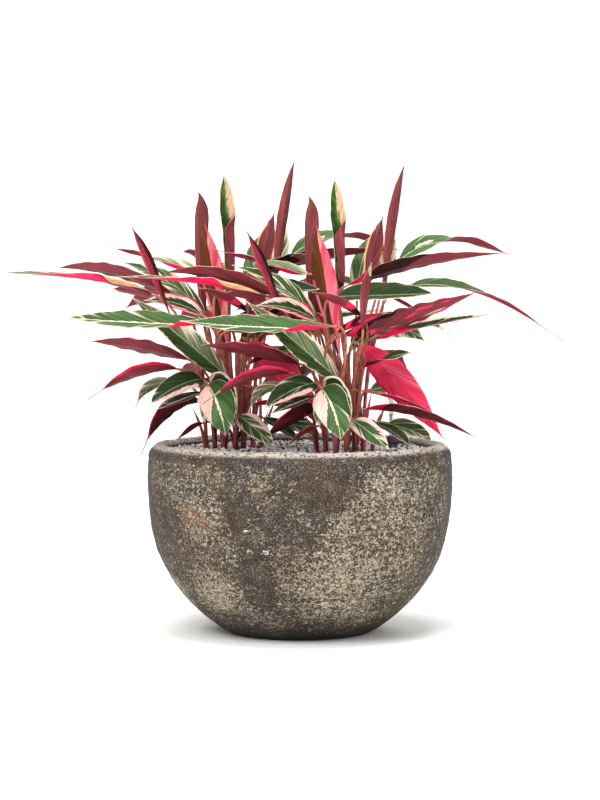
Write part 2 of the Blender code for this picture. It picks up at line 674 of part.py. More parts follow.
def make_blades(placed: list, frames: dict, group: bpy.types.Collection) -> None:
    """One closed blade for every leaf, placed by the foot of its midrib."""
    materials = {shade: finish("leaf_" + shade, colour, 0.42) for shade, colour in SHADES.items()}
    for leaf in placed:
        name = "leaf_%s_%s" % (leaf.plant.name, leaf.leaf.name)
        corners, faces = leaf.blade()
        mesh = bpy.data.meshes.new(name)
        mesh.from_pydata([tuple(corner - leaf.base) for corner in corners], [], faces)
        solid = bmesh.new()
        solid.from_mesh(mesh)
        if solid.calc_volume(signed=True) < 0.0:
            bmesh.ops.reverse_faces(solid, faces=solid.faces)
        solid.to_mesh(mesh)
        solid.free()
        mesh.shade_smooth()
        mesh.set_sharp_from_angle(angle=SHARP_ANGLE)
        blade = add_object(name, mesh, group, materials[leaf.leaf.shade])
        blade.parent = frames[leaf.plant.name]
        blade.location = leaf.base - frames[leaf.plant.name].location


def main() -> None:
    """Build the whole object."""
    clear_scene()
    parts = make_collection("potted_stromanthe")
    cutters = make_collection("cutters")
    make_bowl(parts)
    make_fillings(parts, cutters)
    make_gauge(parts)
    placed = arrange()
    frames = {plant.name: plant_frame(plant, parts) for plant in PLANTS}
    for plant in PLANTS:
        make_clump(plant, placed, frames[plant.name], parts, cutters)
    make_blades(placed, frames, parts)


main()
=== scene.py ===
"""Potted stromanthe: the finished look of two variegated plants in a rough ceramic bowl.

The frame gives the solids of the bowl, soil, granules, gauge, stems and larger leaves.  This file
dresses them: it rebuilds each visible piece finely in the same place, adds the smaller leaves, and
sets the stage, the lamps and the camera.  Metres, +Z up, the front of the object faces -Y.
"""
import logging
import math
import random
from dataclasses import dataclass
from enum import Enum
from typing import Iterable, NamedTuple, Optional, Sequence, Union

import bmesh
import bpy
from bmesh.types import BMEdge, BMesh, BMVert
from bpy.types import Material, Node, NodeSocket, NodeTree, Object
from mathutils import Matrix, Vector, noise
from mathutils.bvhtree import BVHTree


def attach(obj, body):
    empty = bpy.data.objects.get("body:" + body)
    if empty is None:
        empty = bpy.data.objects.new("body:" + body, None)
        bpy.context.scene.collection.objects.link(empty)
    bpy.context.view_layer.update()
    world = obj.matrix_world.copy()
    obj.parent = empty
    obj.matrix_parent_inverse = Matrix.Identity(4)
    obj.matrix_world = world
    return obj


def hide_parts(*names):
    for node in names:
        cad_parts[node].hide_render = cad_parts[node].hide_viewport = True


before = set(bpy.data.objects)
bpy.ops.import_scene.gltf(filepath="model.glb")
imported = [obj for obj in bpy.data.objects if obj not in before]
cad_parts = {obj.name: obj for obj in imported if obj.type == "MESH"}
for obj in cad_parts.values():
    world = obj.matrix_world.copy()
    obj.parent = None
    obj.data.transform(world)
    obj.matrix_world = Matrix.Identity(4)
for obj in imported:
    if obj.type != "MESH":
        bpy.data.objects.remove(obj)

log = logging.getLogger("stromanthe")

MM = 0.001
BODY = "root"
UP = Vector((0.0, 0.0, 1.0))

# places and sizes that the solids in the frame have too
GRANULE_TOP = 0.2235
LEAF_DATUM = 0.232               # height that the leaves' points are measured from
CROWN_FLOOR = 0.2148
CROWN_LENGTH = 0.040             # half of the crown's size from left to right
CROWN_DEPTH = 0.032              # half of its size from front to back
GAUGE_SPOT = (0.113, 0.030)

STAIN_SOFT = 0.012               # breadth over which a patch of colour sets in

Value = Union[float, tuple, str, Node, NodeSocket]
Line = Sequence[tuple[float, float]]


def tone(code: str) -> tuple[float, float, float, float]:
    """Turn an sRGB hex colour into linear light.

    Args:
        code: Six hex digits after a #.

    Returns:
        Red, green, blue and full alpha, linear.
    """
    channels = [int(code[start:start + 2], 16) / 255.0 for start in (1, 3, 5)]
    linear = [c / 12.92 if c <= 0.04045 else ((c + 0.055) / 1.055) ** 2.4 for c in channels]
    return (linear[0], linear[1], linear[2], 1.0)


def connect(tree: NodeTree, node: Node, inputs: dict[Union[int, str], Value]
            ) -> None:
    """Set or link a node's inputs.

    Args:
        tree: The node's tree.
        node: The node.
        inputs: Socket number or name to a value, a hex colour, a socket, or a node whose result
            is used.
    """
    for key, value in inputs.items():
        if isinstance(value, Node):
            value = next(socket for socket in value.outputs if socket.enabled)
        if isinstance(value, NodeSocket):
            tree.links.new(value, node.inputs[key])
        else:
            node.inputs[key].default_value = tone(value) if isinstance(value, str) else value


def add_node(tree: NodeTree, kind: str, inputs: Optional[dict] = None,
             stops: Sequence[tuple[float, str]] = (), **settings: object) -> Node:
    """Add a shader node with its settings, values and links.

    Args:
        tree: The node tree to add to.
        kind: The node's type without its ShaderNode prefix.
        inputs: What its inputs are set or linked to.
        stops: Positions and hex colours of a colour ramp.
        settings: Properties set on the node itself.

    Returns:
        The new node.
    """
    node = tree.nodes.new("ShaderNode" + kind)
    for key, value in settings.items():
        setattr(node, key, value)
    connect(tree, node, inputs or {})
    if stops:
        ramp = node.color_ramp
        while len(ramp.elements) < len(stops):
            ramp.elements.new(0.5)
        for element, (position, code) in zip(ramp.elements, stops):
            element.position = position
            element.color = tone(code)
    return node


def lay(tree: NodeTree, ground: Value, *coats: tuple) -> Value:
    """Lay colours over one another.

    Args:
        tree: The node tree.
        ground: The lowest colour.
        coats: Share and colour of each coat, and its blend type where that isn't MIX.

    Returns:
        The result.
    """
    for share, over, *blend in coats:
        ground = add_node(tree, "Mix", {0: share, 6: ground, 7: over}, data_type="RGBA",
                          blend_type=blend[0] if blend else "MIX")
    return ground


def add_object(name: str, data: bpy.types.ID) -> Object:
    """Put a new object with its data in the scene.

    Args:
        name: The object's name.
        data: Its mesh, lamp or camera.

    Returns:
        The new object.
    """
    made = bpy.data.objects.new(name, data)
    bpy.context.scene.collection.objects.link(made)
    return made


def set_down(shape: BMesh, name: str, materials: Iterable[Material],
             smooth: bool = True) -> Object:
    """Turn a finished bmesh into an object.

    Args:
        shape: The mesh, in the object's frame. It is freed.
        name: The object's name.
        materials: Its materials, by face index.
        smooth: Whether its faces are shaded smooth.

    Returns:
        The new object.
    """
    mesh = bpy.data.meshes.new(name)
    for face in shape.faces:
        face.smooth = smooth
    shape.to_mesh(mesh)
    shape.free()
    for material in materials:
        mesh.materials.append(material)
    return add_object(name, mesh)


def finish_piece(piece: Object, stands_for: Sequence[str] = ()
                 ) -> Object:
    """Let a new object ride on the body.

    Args:
        piece: The object.
        stands_for: Solids that it replaces.

    Returns:
        The same object.
    """
    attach(piece, BODY)
    if stands_for:
        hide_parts(*stands_for)
    log.info("%s: %d faces", piece.name, len(piece.data.polygons))
    return piece


def verts_of(result: dict) -> list[BMVert]:
    """The new vertices of a bmesh operator."""
    return [item for item in result["geom"] if isinstance(item, BMVert)]


def chain(shape: BMesh, points: Iterable[tuple[float, float, float]]
          ) -> tuple[list[BMVert], list[BMEdge]]:
    """Add an open line of edges through some points."""
    line = [shape.verts.new(point) for point in points]
    return line, [shape.edges.new(pair) for pair in zip(line, line[1:])]


def smoothstep(low: float, high: float, value: float) -> float:
    """Ease from 0 at low to 1 at high."""
    share = min(max((value - low) / (high - low), 0.0), 1.0)
    return share * share * (3.0 - 2.0 * share)


def through(points: Line, spacing: float) -> list[tuple[float, float]]:
    """Run a smooth line through some points of a profile.

    Args:
        points: Corner points of the profile.
        spacing: Distance between the points of the result.

    Returns:
        Points along a Catmull-Rom line through the given ones.
    """
    smooth = []
    last = len(points) - 1
    for index in range(last):
        before, start, end, after = [Vector(points[min(max(index + step, 0), last)])
                                     for step in (-1, 0, 1, 2)]
        steps = max(1, round((end - start).length / spacing))
        for step in range(steps):
            t = step / steps
            bend = (start * 2.0 + (end - before) * t
                    + (before * 2.0 - start * 5.0 + end * 4.0 - after) * t * t
                    + (start * 3.0 - before - end * 3.0 + after) * t ** 3) / 2.0
            smooth.append((bend.x, bend.y))
    smooth.append(tuple(points[last]))
    return smooth


def spin_profile(profile: Line, turns: int, closed: bool = False,
                 centre: tuple[float, float] = (0.0, 0.0)) -> BMesh:
    """Spin a profile of radius and height round an upright axis.

    Args:
        profile: Radius and height of each point.
        turns: Facets round the axis.
        closed: Whether the profile's last point joins its first.
        centre: Where the axis stands.

    Returns:
        The turned shape, closed and with its faces outwards.
    """
    shape = bmesh.new()
    line, edges = chain(shape, [(radius, 0.0, height) for radius, height in profile])
    if closed:
        edges.append(shape.edges.new((line[-1], line[0])))
    bmesh.ops.spin(shape, geom=line + edges, cent=(0.0, 0.0, 0.0), axis=UP, angle=math.tau,
                   steps=turns, use_merge=True)
    bmesh.ops.remove_doubles(shape, verts=shape.verts, dist=0.00001)
    bmesh.ops.recalc_face_normals(shape, faces=shape.faces)
    bmesh.ops.translate(shape, verts=shape.verts, vec=(centre[0], centre[1], 0.0))
    return shape


# ---------------------------------------------------------------- finishes


@dataclass(frozen=True)
class Finish:
    """A material with one Principled shader: its name, and its roughness and specular level
    where no pattern drives them."""

    name: str
    roughness: float = 0.5
    specular: float = 0.5

    def build(self) -> Material:
        """Make the material.

        Returns:
            The new material.
        """
        material = bpy.data.materials.new(self.name)
        material.use_nodes = True
        tree = material.node_tree
        shader = tree.nodes["Principled BSDF"]
        connect(tree, shader, {"Roughness": self.roughness,
                               "Specular IOR Level": self.specular})
        connect(tree, shader, self.paint(tree))
        return material

    def paint(self, tree: NodeTree) -> dict[str, Value]:
        """Build the patterns, and tell which input of the shader takes which."""
        raise NotImplementedError


@dataclass(frozen=True)
class LavaCeramic(Finish):
    """Stoneware under a volcanic glaze, wood-fired: a pale crust crawled into thousands of
    worm-like flecks over a charcoal body, so the eye meets a fine rough network of beige on
    dark, thick in some areas and worn bare in others."""

    name: str = "lava_glazed_stoneware"
    roughness: float = 0.9
    specular: float = 0.25
    body: str = "#241f1c"
    body_warm: str = "#483e36"
    crust_deep: str = "#6e6455"
    crust: str = "#928673"
    crust_pale: str = "#c0b6a2"
    gold: str = "#9d8360"
    rust: str = "#7f5530"
    lip: str = "#b4ab9f"
    chip: str = "#cfc2ab"
    painted_foot_shade: str = "#15100d"        # painted shade over the foot, darkest at the floor
    fleck_mm: float = 4.1        # width of one fleck of crust
    lip_heights: tuple[float, float] = (0.2245, 0.2290)      # between which the lip's wear sets in
    foot_heights: tuple[float, float] = (0.002, 0.038)       # between which the foot's painted shade fades out

    # size in millimetres, octaves and roughness of the clouds, grain, firing and paleness
    noises: tuple[tuple[float, float, float], ...] = (
        (14.0, 4.0, 0.5), (1.3, 2.0, 0.5), (70.0, 1.0, 0.5), (3.4, 3.0, 0.6))

    def paint(self, tree: NodeTree) -> dict[str, Value]:
        """Crust over body, then the gilt, chips, rust, worn lip and painted shade on the foot.

        Args:
            tree: The material's node tree.

        Returns:
            What each input of the shader takes.
        """
        place = add_node(tree, "TexCoord").outputs["Object"]
        height = add_node(tree, "SeparateXYZ", {0: place}).outputs["Z"]
        fields = add_node(tree, "Attribute", attribute_name="glaze_fields")
        cover, rusty, golden = add_node(tree, "SeparateColor", {0: fields}).outputs
        flat = add_node(tree, "Mapping", {"Vector": place, "Scale": (1.0, 1.0, 1.35)})
        fleck = add_node(tree, "TexNoise", {"Vector": flat, "Scale": 1.0 / (self.fleck_mm * MM),
                                            "Detail": 2.0, "Roughness": 0.60, "Distortion": 1.3})
        cloud, grain, fired, pale = [
            add_node(tree, "TexNoise", {"Vector": place, "Scale": 1.0 / (size * MM),
                                        "Detail": detail, "Roughness": rough})
            for size, detail, rough in self.noises]
        level = add_node(tree, "Math", {0: fleck, 1: cover}, operation="ADD")
        crust = add_node(tree, "MapRange", {0: level, 1: 1.029, 2: 1.043},
                         interpolation_type="SMOOTHSTEP")
        mottle = add_node(tree, "Math", {0: cloud, 1: 0.3, 2: grain}, operation="MULTIPLY_ADD")
        ground = add_node(tree, "ValToRGB", {0: mottle},
                          [(0.52, self.body), (0.72, self.body_warm), (0.86, self.crust)])
        fired = add_node(tree, "ValToRGB", {0: fired}, [(0.42, "#e4e7ee"), (0.58, "#f6eadf")])
        grit = add_node(tree, "ValToRGB", {0: pale}, [
            (0.36, self.crust_deep), (0.48, self.crust), (0.66, self.crust_pale)])
        gilt = add_node(tree, "Math", {0: golden, 1: 0.55}, operation="MULTIPLY")
        chip = add_node(tree, "Math", {0: fleck, 1: 1.6, 2: fields.outputs["Alpha"]},
                        operation="MULTIPLY_ADD")
        chip = add_node(tree, "MapRange", {0: chip, 1: 1.50, 2: 1.62})
        stain = add_node(tree, "Math", {0: rusty, 1: cloud}, operation="MULTIPLY")
        stain = add_node(tree, "MapRange", {0: stain, 1: 0.22, 2: 0.62, 4: 0.60})
        bare = add_node(tree, "MapRange", {0: crust, 3: 1.0, 4: 0.35})
        stain = add_node(tree, "Math", {0: stain, 1: bare}, operation="MULTIPLY")
        low, high = self.lip_heights
        lip = add_node(tree, "MapRange", {0: height, 1: low, 2: high, 4: 0.9},
                       interpolation_type="SMOOTHSTEP")
        worn = add_node(tree, "MapRange", {0: pale, 1: 0.40, 2: 0.52, 3: 0.08})
        worn = add_node(tree, "Math", {0: lip, 1: worn}, operation="MULTIPLY")
        # painted shade: the glaze darkens towards the floor, to near black at the bottom
        low, high = self.foot_heights
        foot = add_node(tree, "MapRange", {0: height, 1: low, 2: high, 3: 0.90, 4: 0.0},
                        interpolation_type="SMOOTHSTEP")
        ground = lay(tree, ground, (1.0, fired, "MULTIPLY"))
        colour = lay(tree, ground, (crust, lay(tree, grit, (gilt, self.gold))),
                     (chip, self.chip), (stain, self.rust), (worn, self.lip), (foot, self.painted_foot_shade))
        relief = add_node(tree, "Math", {0: grain, 1: 0.5, 2: crust}, operation="MULTIPLY_ADD")
        return {"Base Color": colour,
                "Roughness": add_node(tree, "MapRange", {0: crust, 3: 0.72, 4: 0.95}),
                "Normal": add_node(tree, "Bump", {"Height": relief, "Strength": 0.75,
                                                  "Distance": 0.8 * MM})}


@dataclass(frozen=True)
class MineralGrit(Finish):
    """Crushed pumice, perlite and zeolite, screened to 2 to 6 mm: dry, chalky and faceted, with
    white, bluish grey and a few brown stones side by side."""

    name: str = "crushed_pumice_and_perlite"
    roughness: float = 0.92
    specular: float = 0.3
    pore_mm: float = 0.9         # width of one pore

    def paint(self, tree: NodeTree) -> dict[str, Value]:
        """One colour a stone, darker in its pores.

        Args:
            tree: The material's node tree.

        Returns:
            What each input of the shader takes.
        """
        lot = add_node(tree, "Attribute", attribute_name="grain_lot")
        stone = add_node(tree, "ValToRGB", {0: lot.outputs["Fac"]},
                         [(0.0, "#2a2019"), (0.15, "#4a3a30"), (0.19, "#8d979c"),
                          (0.32, "#dcecf2"), (0.50, "#ffffff"), (0.83, "#fbf6ec"),
                          (0.88, "#8a6a54"), (1.0, "#4c382c")])
        place = add_node(tree, "TexCoord").outputs["Object"]
        pores = add_node(tree, "TexNoise", {"Vector": place, "Scale": 1.0 / (self.pore_mm * MM),
                                            "Detail": 2.0})
        shade = add_node(tree, "MapRange", {0: pores, 1: 0.3, 2: 0.6, 3: 0.78, 4: 1.0})
        return {"Base Color": lay(tree, stone, (1.0, shade, "MULTIPLY")),
                "Normal": add_node(tree, "Bump", {"Height": pores, "Strength": 0.6,
                                                  "Distance": 0.4 * MM})}


@dataclass(frozen=True)
class Mottled(Finish):
    """A stuff whose colour wanders between two tones, with its gloss and relief if it has any."""

    patch_mm: float = 5.0        # size of one patch of a tone
    detail: float = 2.0
    tones: tuple[tuple[float, str], ...] = ()
    strength: float = 0.0        # of the relief
    depth_mm: float = 0.1        # of the relief
    wear: bool = False           # whether its gloss wanders too
    cover: float = 1.0           # how much of what is behind it hides

    def paint(self, tree: NodeTree) -> dict[str, Value]:
        """Two tones and, where asked, wear and relief from one noise.

        Args:
            tree: The material's node tree.

        Returns:
            What each input of the shader takes.
        """
        place = add_node(tree, "TexCoord").outputs["Object"]
        drift = add_node(tree, "TexNoise", {"Vector": place, "Scale": 1.0 / (self.patch_mm * MM),
                                            "Detail": self.detail})
        painted = {"Base Color": add_node(tree, "ValToRGB", {0: drift}, self.tones),
                   "Alpha": self.cover}
        if self.wear:
            painted["Roughness"] = add_node(tree, "MapRange", {
                0: drift, 3: self.roughness * 0.8, 4: min(self.roughness * 1.3, 1.0)})
        if self.strength:
            painted["Normal"] = add_node(tree, "Bump", {
                "Height": drift, "Strength": self.strength, "Distance": self.depth_mm * MM})
        return painted


@dataclass(frozen=True)
class MouldedPlastic(Mottled):
    """Injection-moulded plastic: an even colour with faint flow marks and fine handling wear."""

    detail: float = 3.0
    strength: float = 0.15
    wear: bool = True


@dataclass(frozen=True)
class StemSkin(Finish):
    """Smooth waxy stem tissue, grown: wine-red sheaths at the soil that turn orange-brown and
    pink on the thin stalks, with fine lengthwise ribs and a soft shine."""

    name: str = "waxy_stem_skin"
    roughness: float = 0.42
    specular: float = 0.45
    ribs: float = 75.0           # turns of the wave round a stem, in radians
    streak_mm: float = 2.5       # width of one streak

    def paint(self, tree: NodeTree) -> dict[str, Value]:
        """Low and high colours by the stem's lot, streaks along it and ribs round it.

        Args:
            tree: The material's node tree.

        Returns:
            What each input of the shader takes.
        """
        mark = add_node(tree, "Attribute", attribute_name="stem_mark").outputs["Vector"]
        rise, lot, turn = add_node(tree, "SeparateXYZ", {0: mark}).outputs
        low = add_node(tree, "ValToRGB", {0: lot},
                       [(0.0, "#93293f"), (0.2, "#c65a74"), (0.4, "#dc8c9e"), (0.6, "#a83a50"),
                        (0.8, "#a85c36"), (1.0, "#8f3434")])
        high = add_node(tree, "ValToRGB", {0: lot},
                        [(0.0, "#95453c"), (0.3, "#ab6038"), (0.55, "#b9783f"), (0.8, "#93503a"),
                         (1.0, "#c07a78")])
        place = add_node(tree, "TexCoord").outputs["Object"]
        stretch = add_node(tree, "Mapping", {"Vector": place, "Scale": (1.0, 1.0, 0.12)})
        streak = add_node(tree, "TexNoise", {
            "Vector": stretch, "Scale": 1.0 / (self.streak_mm * MM), "Detail": 3.0})
        shade = add_node(tree, "ValToRGB", {0: streak},
                         [(0.36, "#8a6f6f"), (0.46, "#ece2e2"), (0.60, "#ffffff")])
        ribs = add_node(tree, "Math", {0: turn, 1: self.ribs}, operation="MULTIPLY")
        ribs = add_node(tree, "Math", {0: ribs}, operation="SINE")
        return {"Base Color": lay(tree, low, (rise, high), (1.0, shade, "MULTIPLY")),
                "Normal": add_node(tree, "Bump", {"Height": ribs, "Strength": 0.25,
                                                  "Distance": 0.12 * MM})}


class BladeNodes:
    """The coordinates that every leaf finish shares: along and across the blade, and the flow of
    its side veins, which leave the midrib at about 22 degrees and run forward to the margin."""

    VEIN_SLOPE = 2.5             # how far a vein goes forward for each step outwards
    PATCH_EDGE = (0.475, 0.525)  # depth in a patch, from 0 to 1, over which its colour sets in
    LOT_APART = 37.0             # between the noises of one leaf and another
    SIDE_APART = 4.1             # between those of a blade's two sides
    GLOSS_MM = (6.0, 16.0)       # breadth and length of the strokes that make the gloss uneven
    GLOSS_SWING = (0.85, 1.2)    # least and most roughness, as shares of the mean
    GLOSS_RELIEF = 2.2           # relief of those strokes, as a share of the veins'

    def __init__(self, tree: NodeTree) -> None:
        """Build the shared coordinates in a tree.

        Args:
            tree: The material's node tree.
        """
        self.tree = tree
        place = add_node(tree, "Attribute", attribute_name="blade_mm").outputs["Vector"]
        share = add_node(tree, "Attribute", attribute_name="blade_share").outputs["Vector"]
        along, across, self.lot = add_node(tree, "SeparateXYZ", {0: place}).outputs
        self.share, edge, lean = add_node(tree, "SeparateXYZ", {0: share}).outputs
        self.rim = add_node(tree, "Attribute", attribute_name="blade_rim").outputs["Fac"]
        self.out = add_node(tree, "Math", {0: across}, operation="ABSOLUTE")
        self.edge = add_node(tree, "Math", {0: edge}, operation="ABSOLUTE")
        self.side = add_node(tree, "Math", {0: across}, operation="SIGN")
        self.flow = add_node(tree, "Math", {0: self.out, 1: -self.VEIN_SLOPE, 2: along},
                             operation="MULTIPLY_ADD")
        self.lean = add_node(tree, "Math", {0: edge, 1: lean}, operation="MULTIPLY")

    def strokes(self, width: float, length: float, offset: float, detail: float = 2.0
                ) -> Node:
        """Noise drawn out along the side veins.

        Args:
            width: Breadth of one stroke, in millimetres.
            length: Its length from the midrib outwards, in millimetres.
            offset: Keeps one set of strokes apart from another.
            detail: Octaves of the noise.

        Returns:
            The noise node.
        """
        tree = self.tree
        over = add_node(tree, "Math", {0: self.flow, 1: width}, operation="DIVIDE")
        outward = add_node(tree, "Math", {0: self.out, 1: length}, operation="DIVIDE")
        layer = add_node(tree, "Math", {0: self.lot, 1: self.LOT_APART, 2: offset},
                         operation="MULTIPLY_ADD")
        layer = add_node(tree, "Math", {0: self.side, 1: self.SIDE_APART, 2: layer},
                         operation="MULTIPLY_ADD")
        spot = add_node(tree, "CombineXYZ", {0: over, 1: outward, 2: layer})
        return add_node(tree, "TexNoise", {"Vector": spot, "Scale": 1.0, "Detail": detail,
                                           "Roughness": 0.55})

    def veins(self, spacing: float) -> Node:
        """Fine ribs along the side veins, spaced in millimetres."""
        turn = add_node(self.tree, "Math", {0: self.flow, 1: math.tau / spacing},
                        operation="MULTIPLY")
        return add_node(self.tree, "Math", {0: turn}, operation="SINE")

    def blend(self, *parts: tuple[Value, float]) -> Value:
        """Add several values up, each multiplied by its weight.

        Args:
            parts: Each value and its weight.

        Returns:
            The sum.
        """
        total: Value = 0.0
        for value, weight in parts:
            total = add_node(self.tree, "Math", {0: value, 1: weight, 2: total},
                             operation="MULTIPLY_ADD")
        return total

    def lay(self, ground: Value, *coats: tuple) -> Value:
        """Lay colours over one another, each where a field passes from low to high.

        Args:
            ground: The lowest colour.
            coats: Field, low, high, greatest share and colour of each coat, and its blend type
                where that isn't MIX.

        Returns:
            The result.
        """
        for field, low, high, most, *coat in coats:
            share = add_node(self.tree, "MapRange", {0: field, 1: low, 2: high, 4: most},
                             interpolation_type="SMOOTHSTEP")
            ground = lay(self.tree, ground, (share, *coat))
        return ground

    def stain(self, colour: Value, layer: str, streaks: Value,
              tints: Sequence[tuple[str, str, float]]) -> Value:
        """Lay the streaky patches of other colours over a face.

        Args:
            colour: The face's own colour.
            layer: Name of the attribute that tells how much of each tint there is.
            streaks: Noise that frays the edges of the patches.
            tints: A deeper and a lighter colour of each tint, and how much its edges fray.

        Returns:
            The face's colour with its patches.
        """
        tree = self.tree
        weight = add_node(tree, "Attribute", attribute_name=layer)
        shares = add_node(tree, "SeparateColor", {0: weight}).outputs
        for share, (deep, light, ragged) in zip((*shares, weight.outputs["Alpha"]), tints):
            fray = add_node(tree, "Math", {0: streaks, 1: ragged, 2: -ragged / 2.0},
                            operation="MULTIPLY_ADD")
            level = add_node(tree, "Math", {0: share, 1: fray}, operation="ADD")
            tint = add_node(tree, "ValToRGB", {0: streaks}, [(0.38, deep), (0.60, light)])
            colour = self.lay(colour, (level, *self.PATCH_EDGE, 1.0, tint))
        return colour

    def surface(self, colour: Value, veins: Value, roughness: float) -> dict[str, Value]:
        """What the shader takes: the colour, the veins' relief and an uneven gloss.

        Args:
            colour: The face's colour.
            veins: The wave of its side veins.
            roughness: The face's mean roughness.

        Returns:
            What each input of the shader takes.
        """
        wide = self.strokes(*self.GLOSS_MM, 9.0)
        low, high = self.GLOSS_SWING
        height = add_node(self.tree, "Math", {0: wide, 1: self.GLOSS_RELIEF, 2: veins},
                          operation="MULTIPLY_ADD")
        return {"Base Color": colour,
                "Normal": add_node(self.tree, "Bump", {"Height": height, "Strength": 0.35,
                                                       "Distance": 0.16 * MM}),
                "Roughness": add_node(self.tree, "MapRange", {
                    0: wide, 1: 0.3, 2: 0.7, 3: roughness * low, 4: roughness * high})}


@dataclass(frozen=True)
class UpperSkin(Finish):
    """Upper face of a variegated blade, grown: waxy green with crisp cream flames along the side
    veins, mostly near the margins, a cream midrib and a thin cream margin that blushes pink."""

    roughness: float = 0.52
    specular: float = 0.09
    dark: str = "#26381b"
    mid: str = "#48633a"
    pale: str = "#8f9a76"
    cream: str = "#e0d3bb"
    blush: str = "#d9aea0"
    stripe: str = "#a9b08a"      # the midrib
    patch: tuple[str, str] = ("#d3a196", "#e6c9bd")      # whole patches near the stalk
    flames: float = 0.0          # more than 0 gives more cream
    flame_level: float = 0.585   # level of the strokes' noise at which cream begins
    vein_mm: float = 1.9         # from one side vein to the next

    # breadth and length in millimetres of sectors, flames, fine streaks and blushes
    sector_mm: tuple[float, float] = (17.0, 60.0)
    flame_mm: tuple[float, float] = (3.6, 26.0)
    fine_mm: tuple[float, float] = (1.5, 16.0)
    blush_mm: tuple[float, float] = (40.0, 30.0)

    def paint(self, tree: NodeTree) -> dict[str, Value]:
        """Greens, flames, patches, midrib, margin, veins and the dry point.

        Args:
            tree: The material's node tree.

        Returns:
            What each input of the shader takes.
        """
        blade = BladeNodes(tree)
        sectors = blade.strokes(*self.sector_mm, 1.0, 1.0)
        strokes = blade.strokes(*self.flame_mm, 2.0)
        fine = blade.strokes(*self.fine_mm, 3.0, 1.0)
        rise = add_node(tree, "Math", {0: blade.edge, 1: 2.0}, operation="POWER")
        level = blade.blend((sectors, 0.62), (strokes, 0.38), (rise, 0.10), (blade.lean, 1.0))
        start = self.flame_level - self.flames
        flesh = add_node(tree, "ValToRGB", {0: blade.strokes(*self.blush_mm, 4.0, 1.0)},
                         [(0.42, self.cream), (0.60, self.blush)])
        colour = blade.lay(
            self.dark,
            (blade.blend((fine, 0.5), (strokes, 0.5)), 0.40, 0.60, 1.0, self.mid),
            (level, start - 0.045, start - 0.02, 1.0, self.pale),
            (level, start - 0.008, start + 0.008, 1.0, flesh))
        colour = blade.stain(colour, "upper_stain", strokes, (
            (*self.patch, 0.8), ("#d2c6a6", "#e6dac2", 0.35), ("#1f2f17", "#3a532a", 0.8),
            ("#d9546a", "#e88e8c", 0.8)))
        rib = blade.blend((blade.out, 1.0), (strokes, 1.6))
        rim = blade.blend((blade.rim, 1.0), (strokes, 1.8))
        veins = blade.veins(self.vein_mm)
        colour = blade.lay(
            colour, (rib, 1.45, 1.00, 1.0, self.stripe), (rim, 1.60, 1.25, 1.0, flesh),
            (veins, -1.0, 1.0, 0.24, self.dark, "MULTIPLY"),
            (blade.share, 0.975, 0.985, 1.0, "#c8c09a"))
        return blade.surface(colour, veins, self.roughness)


@dataclass(frozen=True)
class UnderSkin(Finish):
    """Under face of a blade, grown: satin wine red with fine parallel veins, hot pink where the
    upper face is cream, and a thin pink margin."""

    roughness: float = 0.52
    specular: float = 0.10
    deep: str = "#652a30"
    base: str = "#89373f"
    glow: str = "#a0484f"
    margin: str = "#c04058"
    hot: tuple[str, str] = ("#d5164a", "#f5305e")
    stalk_shade: str = "#3a1318"        # painted shade towards the stalk
    vein_mm: float = 1.5         # from one side vein to the next

    # breadth and length in millimetres of sectors, streaks and fine dark streaks
    sector_mm: tuple[float, float] = (30.0, 50.0)
    streak_mm: tuple[float, float] = (4.0, 30.0)
    fine_mm: tuple[float, float] = (1.7, 40.0)

    def paint(self, tree: NodeTree) -> dict[str, Value]:
        """Reds, veins, the painted shade at the stalk, margin, patches and midrib.

        Args:
            tree: The material's node tree.

        Returns:
            What each input of the shader takes.
        """
        blade = BladeNodes(tree)
        sectors = blade.strokes(*self.sector_mm, 1.0, 1.0)
        strokes = blade.strokes(*self.streak_mm, 2.0)
        level = blade.blend((sectors, 0.55), (strokes, 0.45), (blade.lean, 1.0))
        colour = add_node(tree, "ValToRGB", {0: level}, [
            (0.36, self.deep), (0.46, self.base), (0.56, self.base), (0.62, self.glow)])
        veins = blade.veins(self.vein_mm)
        rim = blade.blend((blade.rim, 1.0), (sectors, 4.0))
        # painted shade: the under face darkens towards the stalk, fading out at 0.30 of the blade's
        # length
        colour = blade.lay(
            colour, (veins, -1.0, 1.0, 0.34, self.deep),
            (blade.strokes(*self.fine_mm, 6.0, 1.0), 0.52, 0.62, 0.55, self.deep),
            (blade.share, 0.30, 0.0, 0.55, self.stalk_shade), (rim, 2.2, 1.8, 1.0, self.margin))
        colour = blade.stain(colour, "under_stain", sectors, (
            (*self.hot, 0.45), ("#dd8a62", "#f0b08a", 0.45), ("#1e0806", "#38110e", 0.45),
            ("#93a276", "#cfceab", 0.45)))
        rib = blade.blend((blade.out, 1.0), (strokes, 0.8))
        colour = blade.lay(colour, (rib, 1.3, 0.7, 0.55, self.deep))
        return blade.surface(colour, veins, self.roughness)


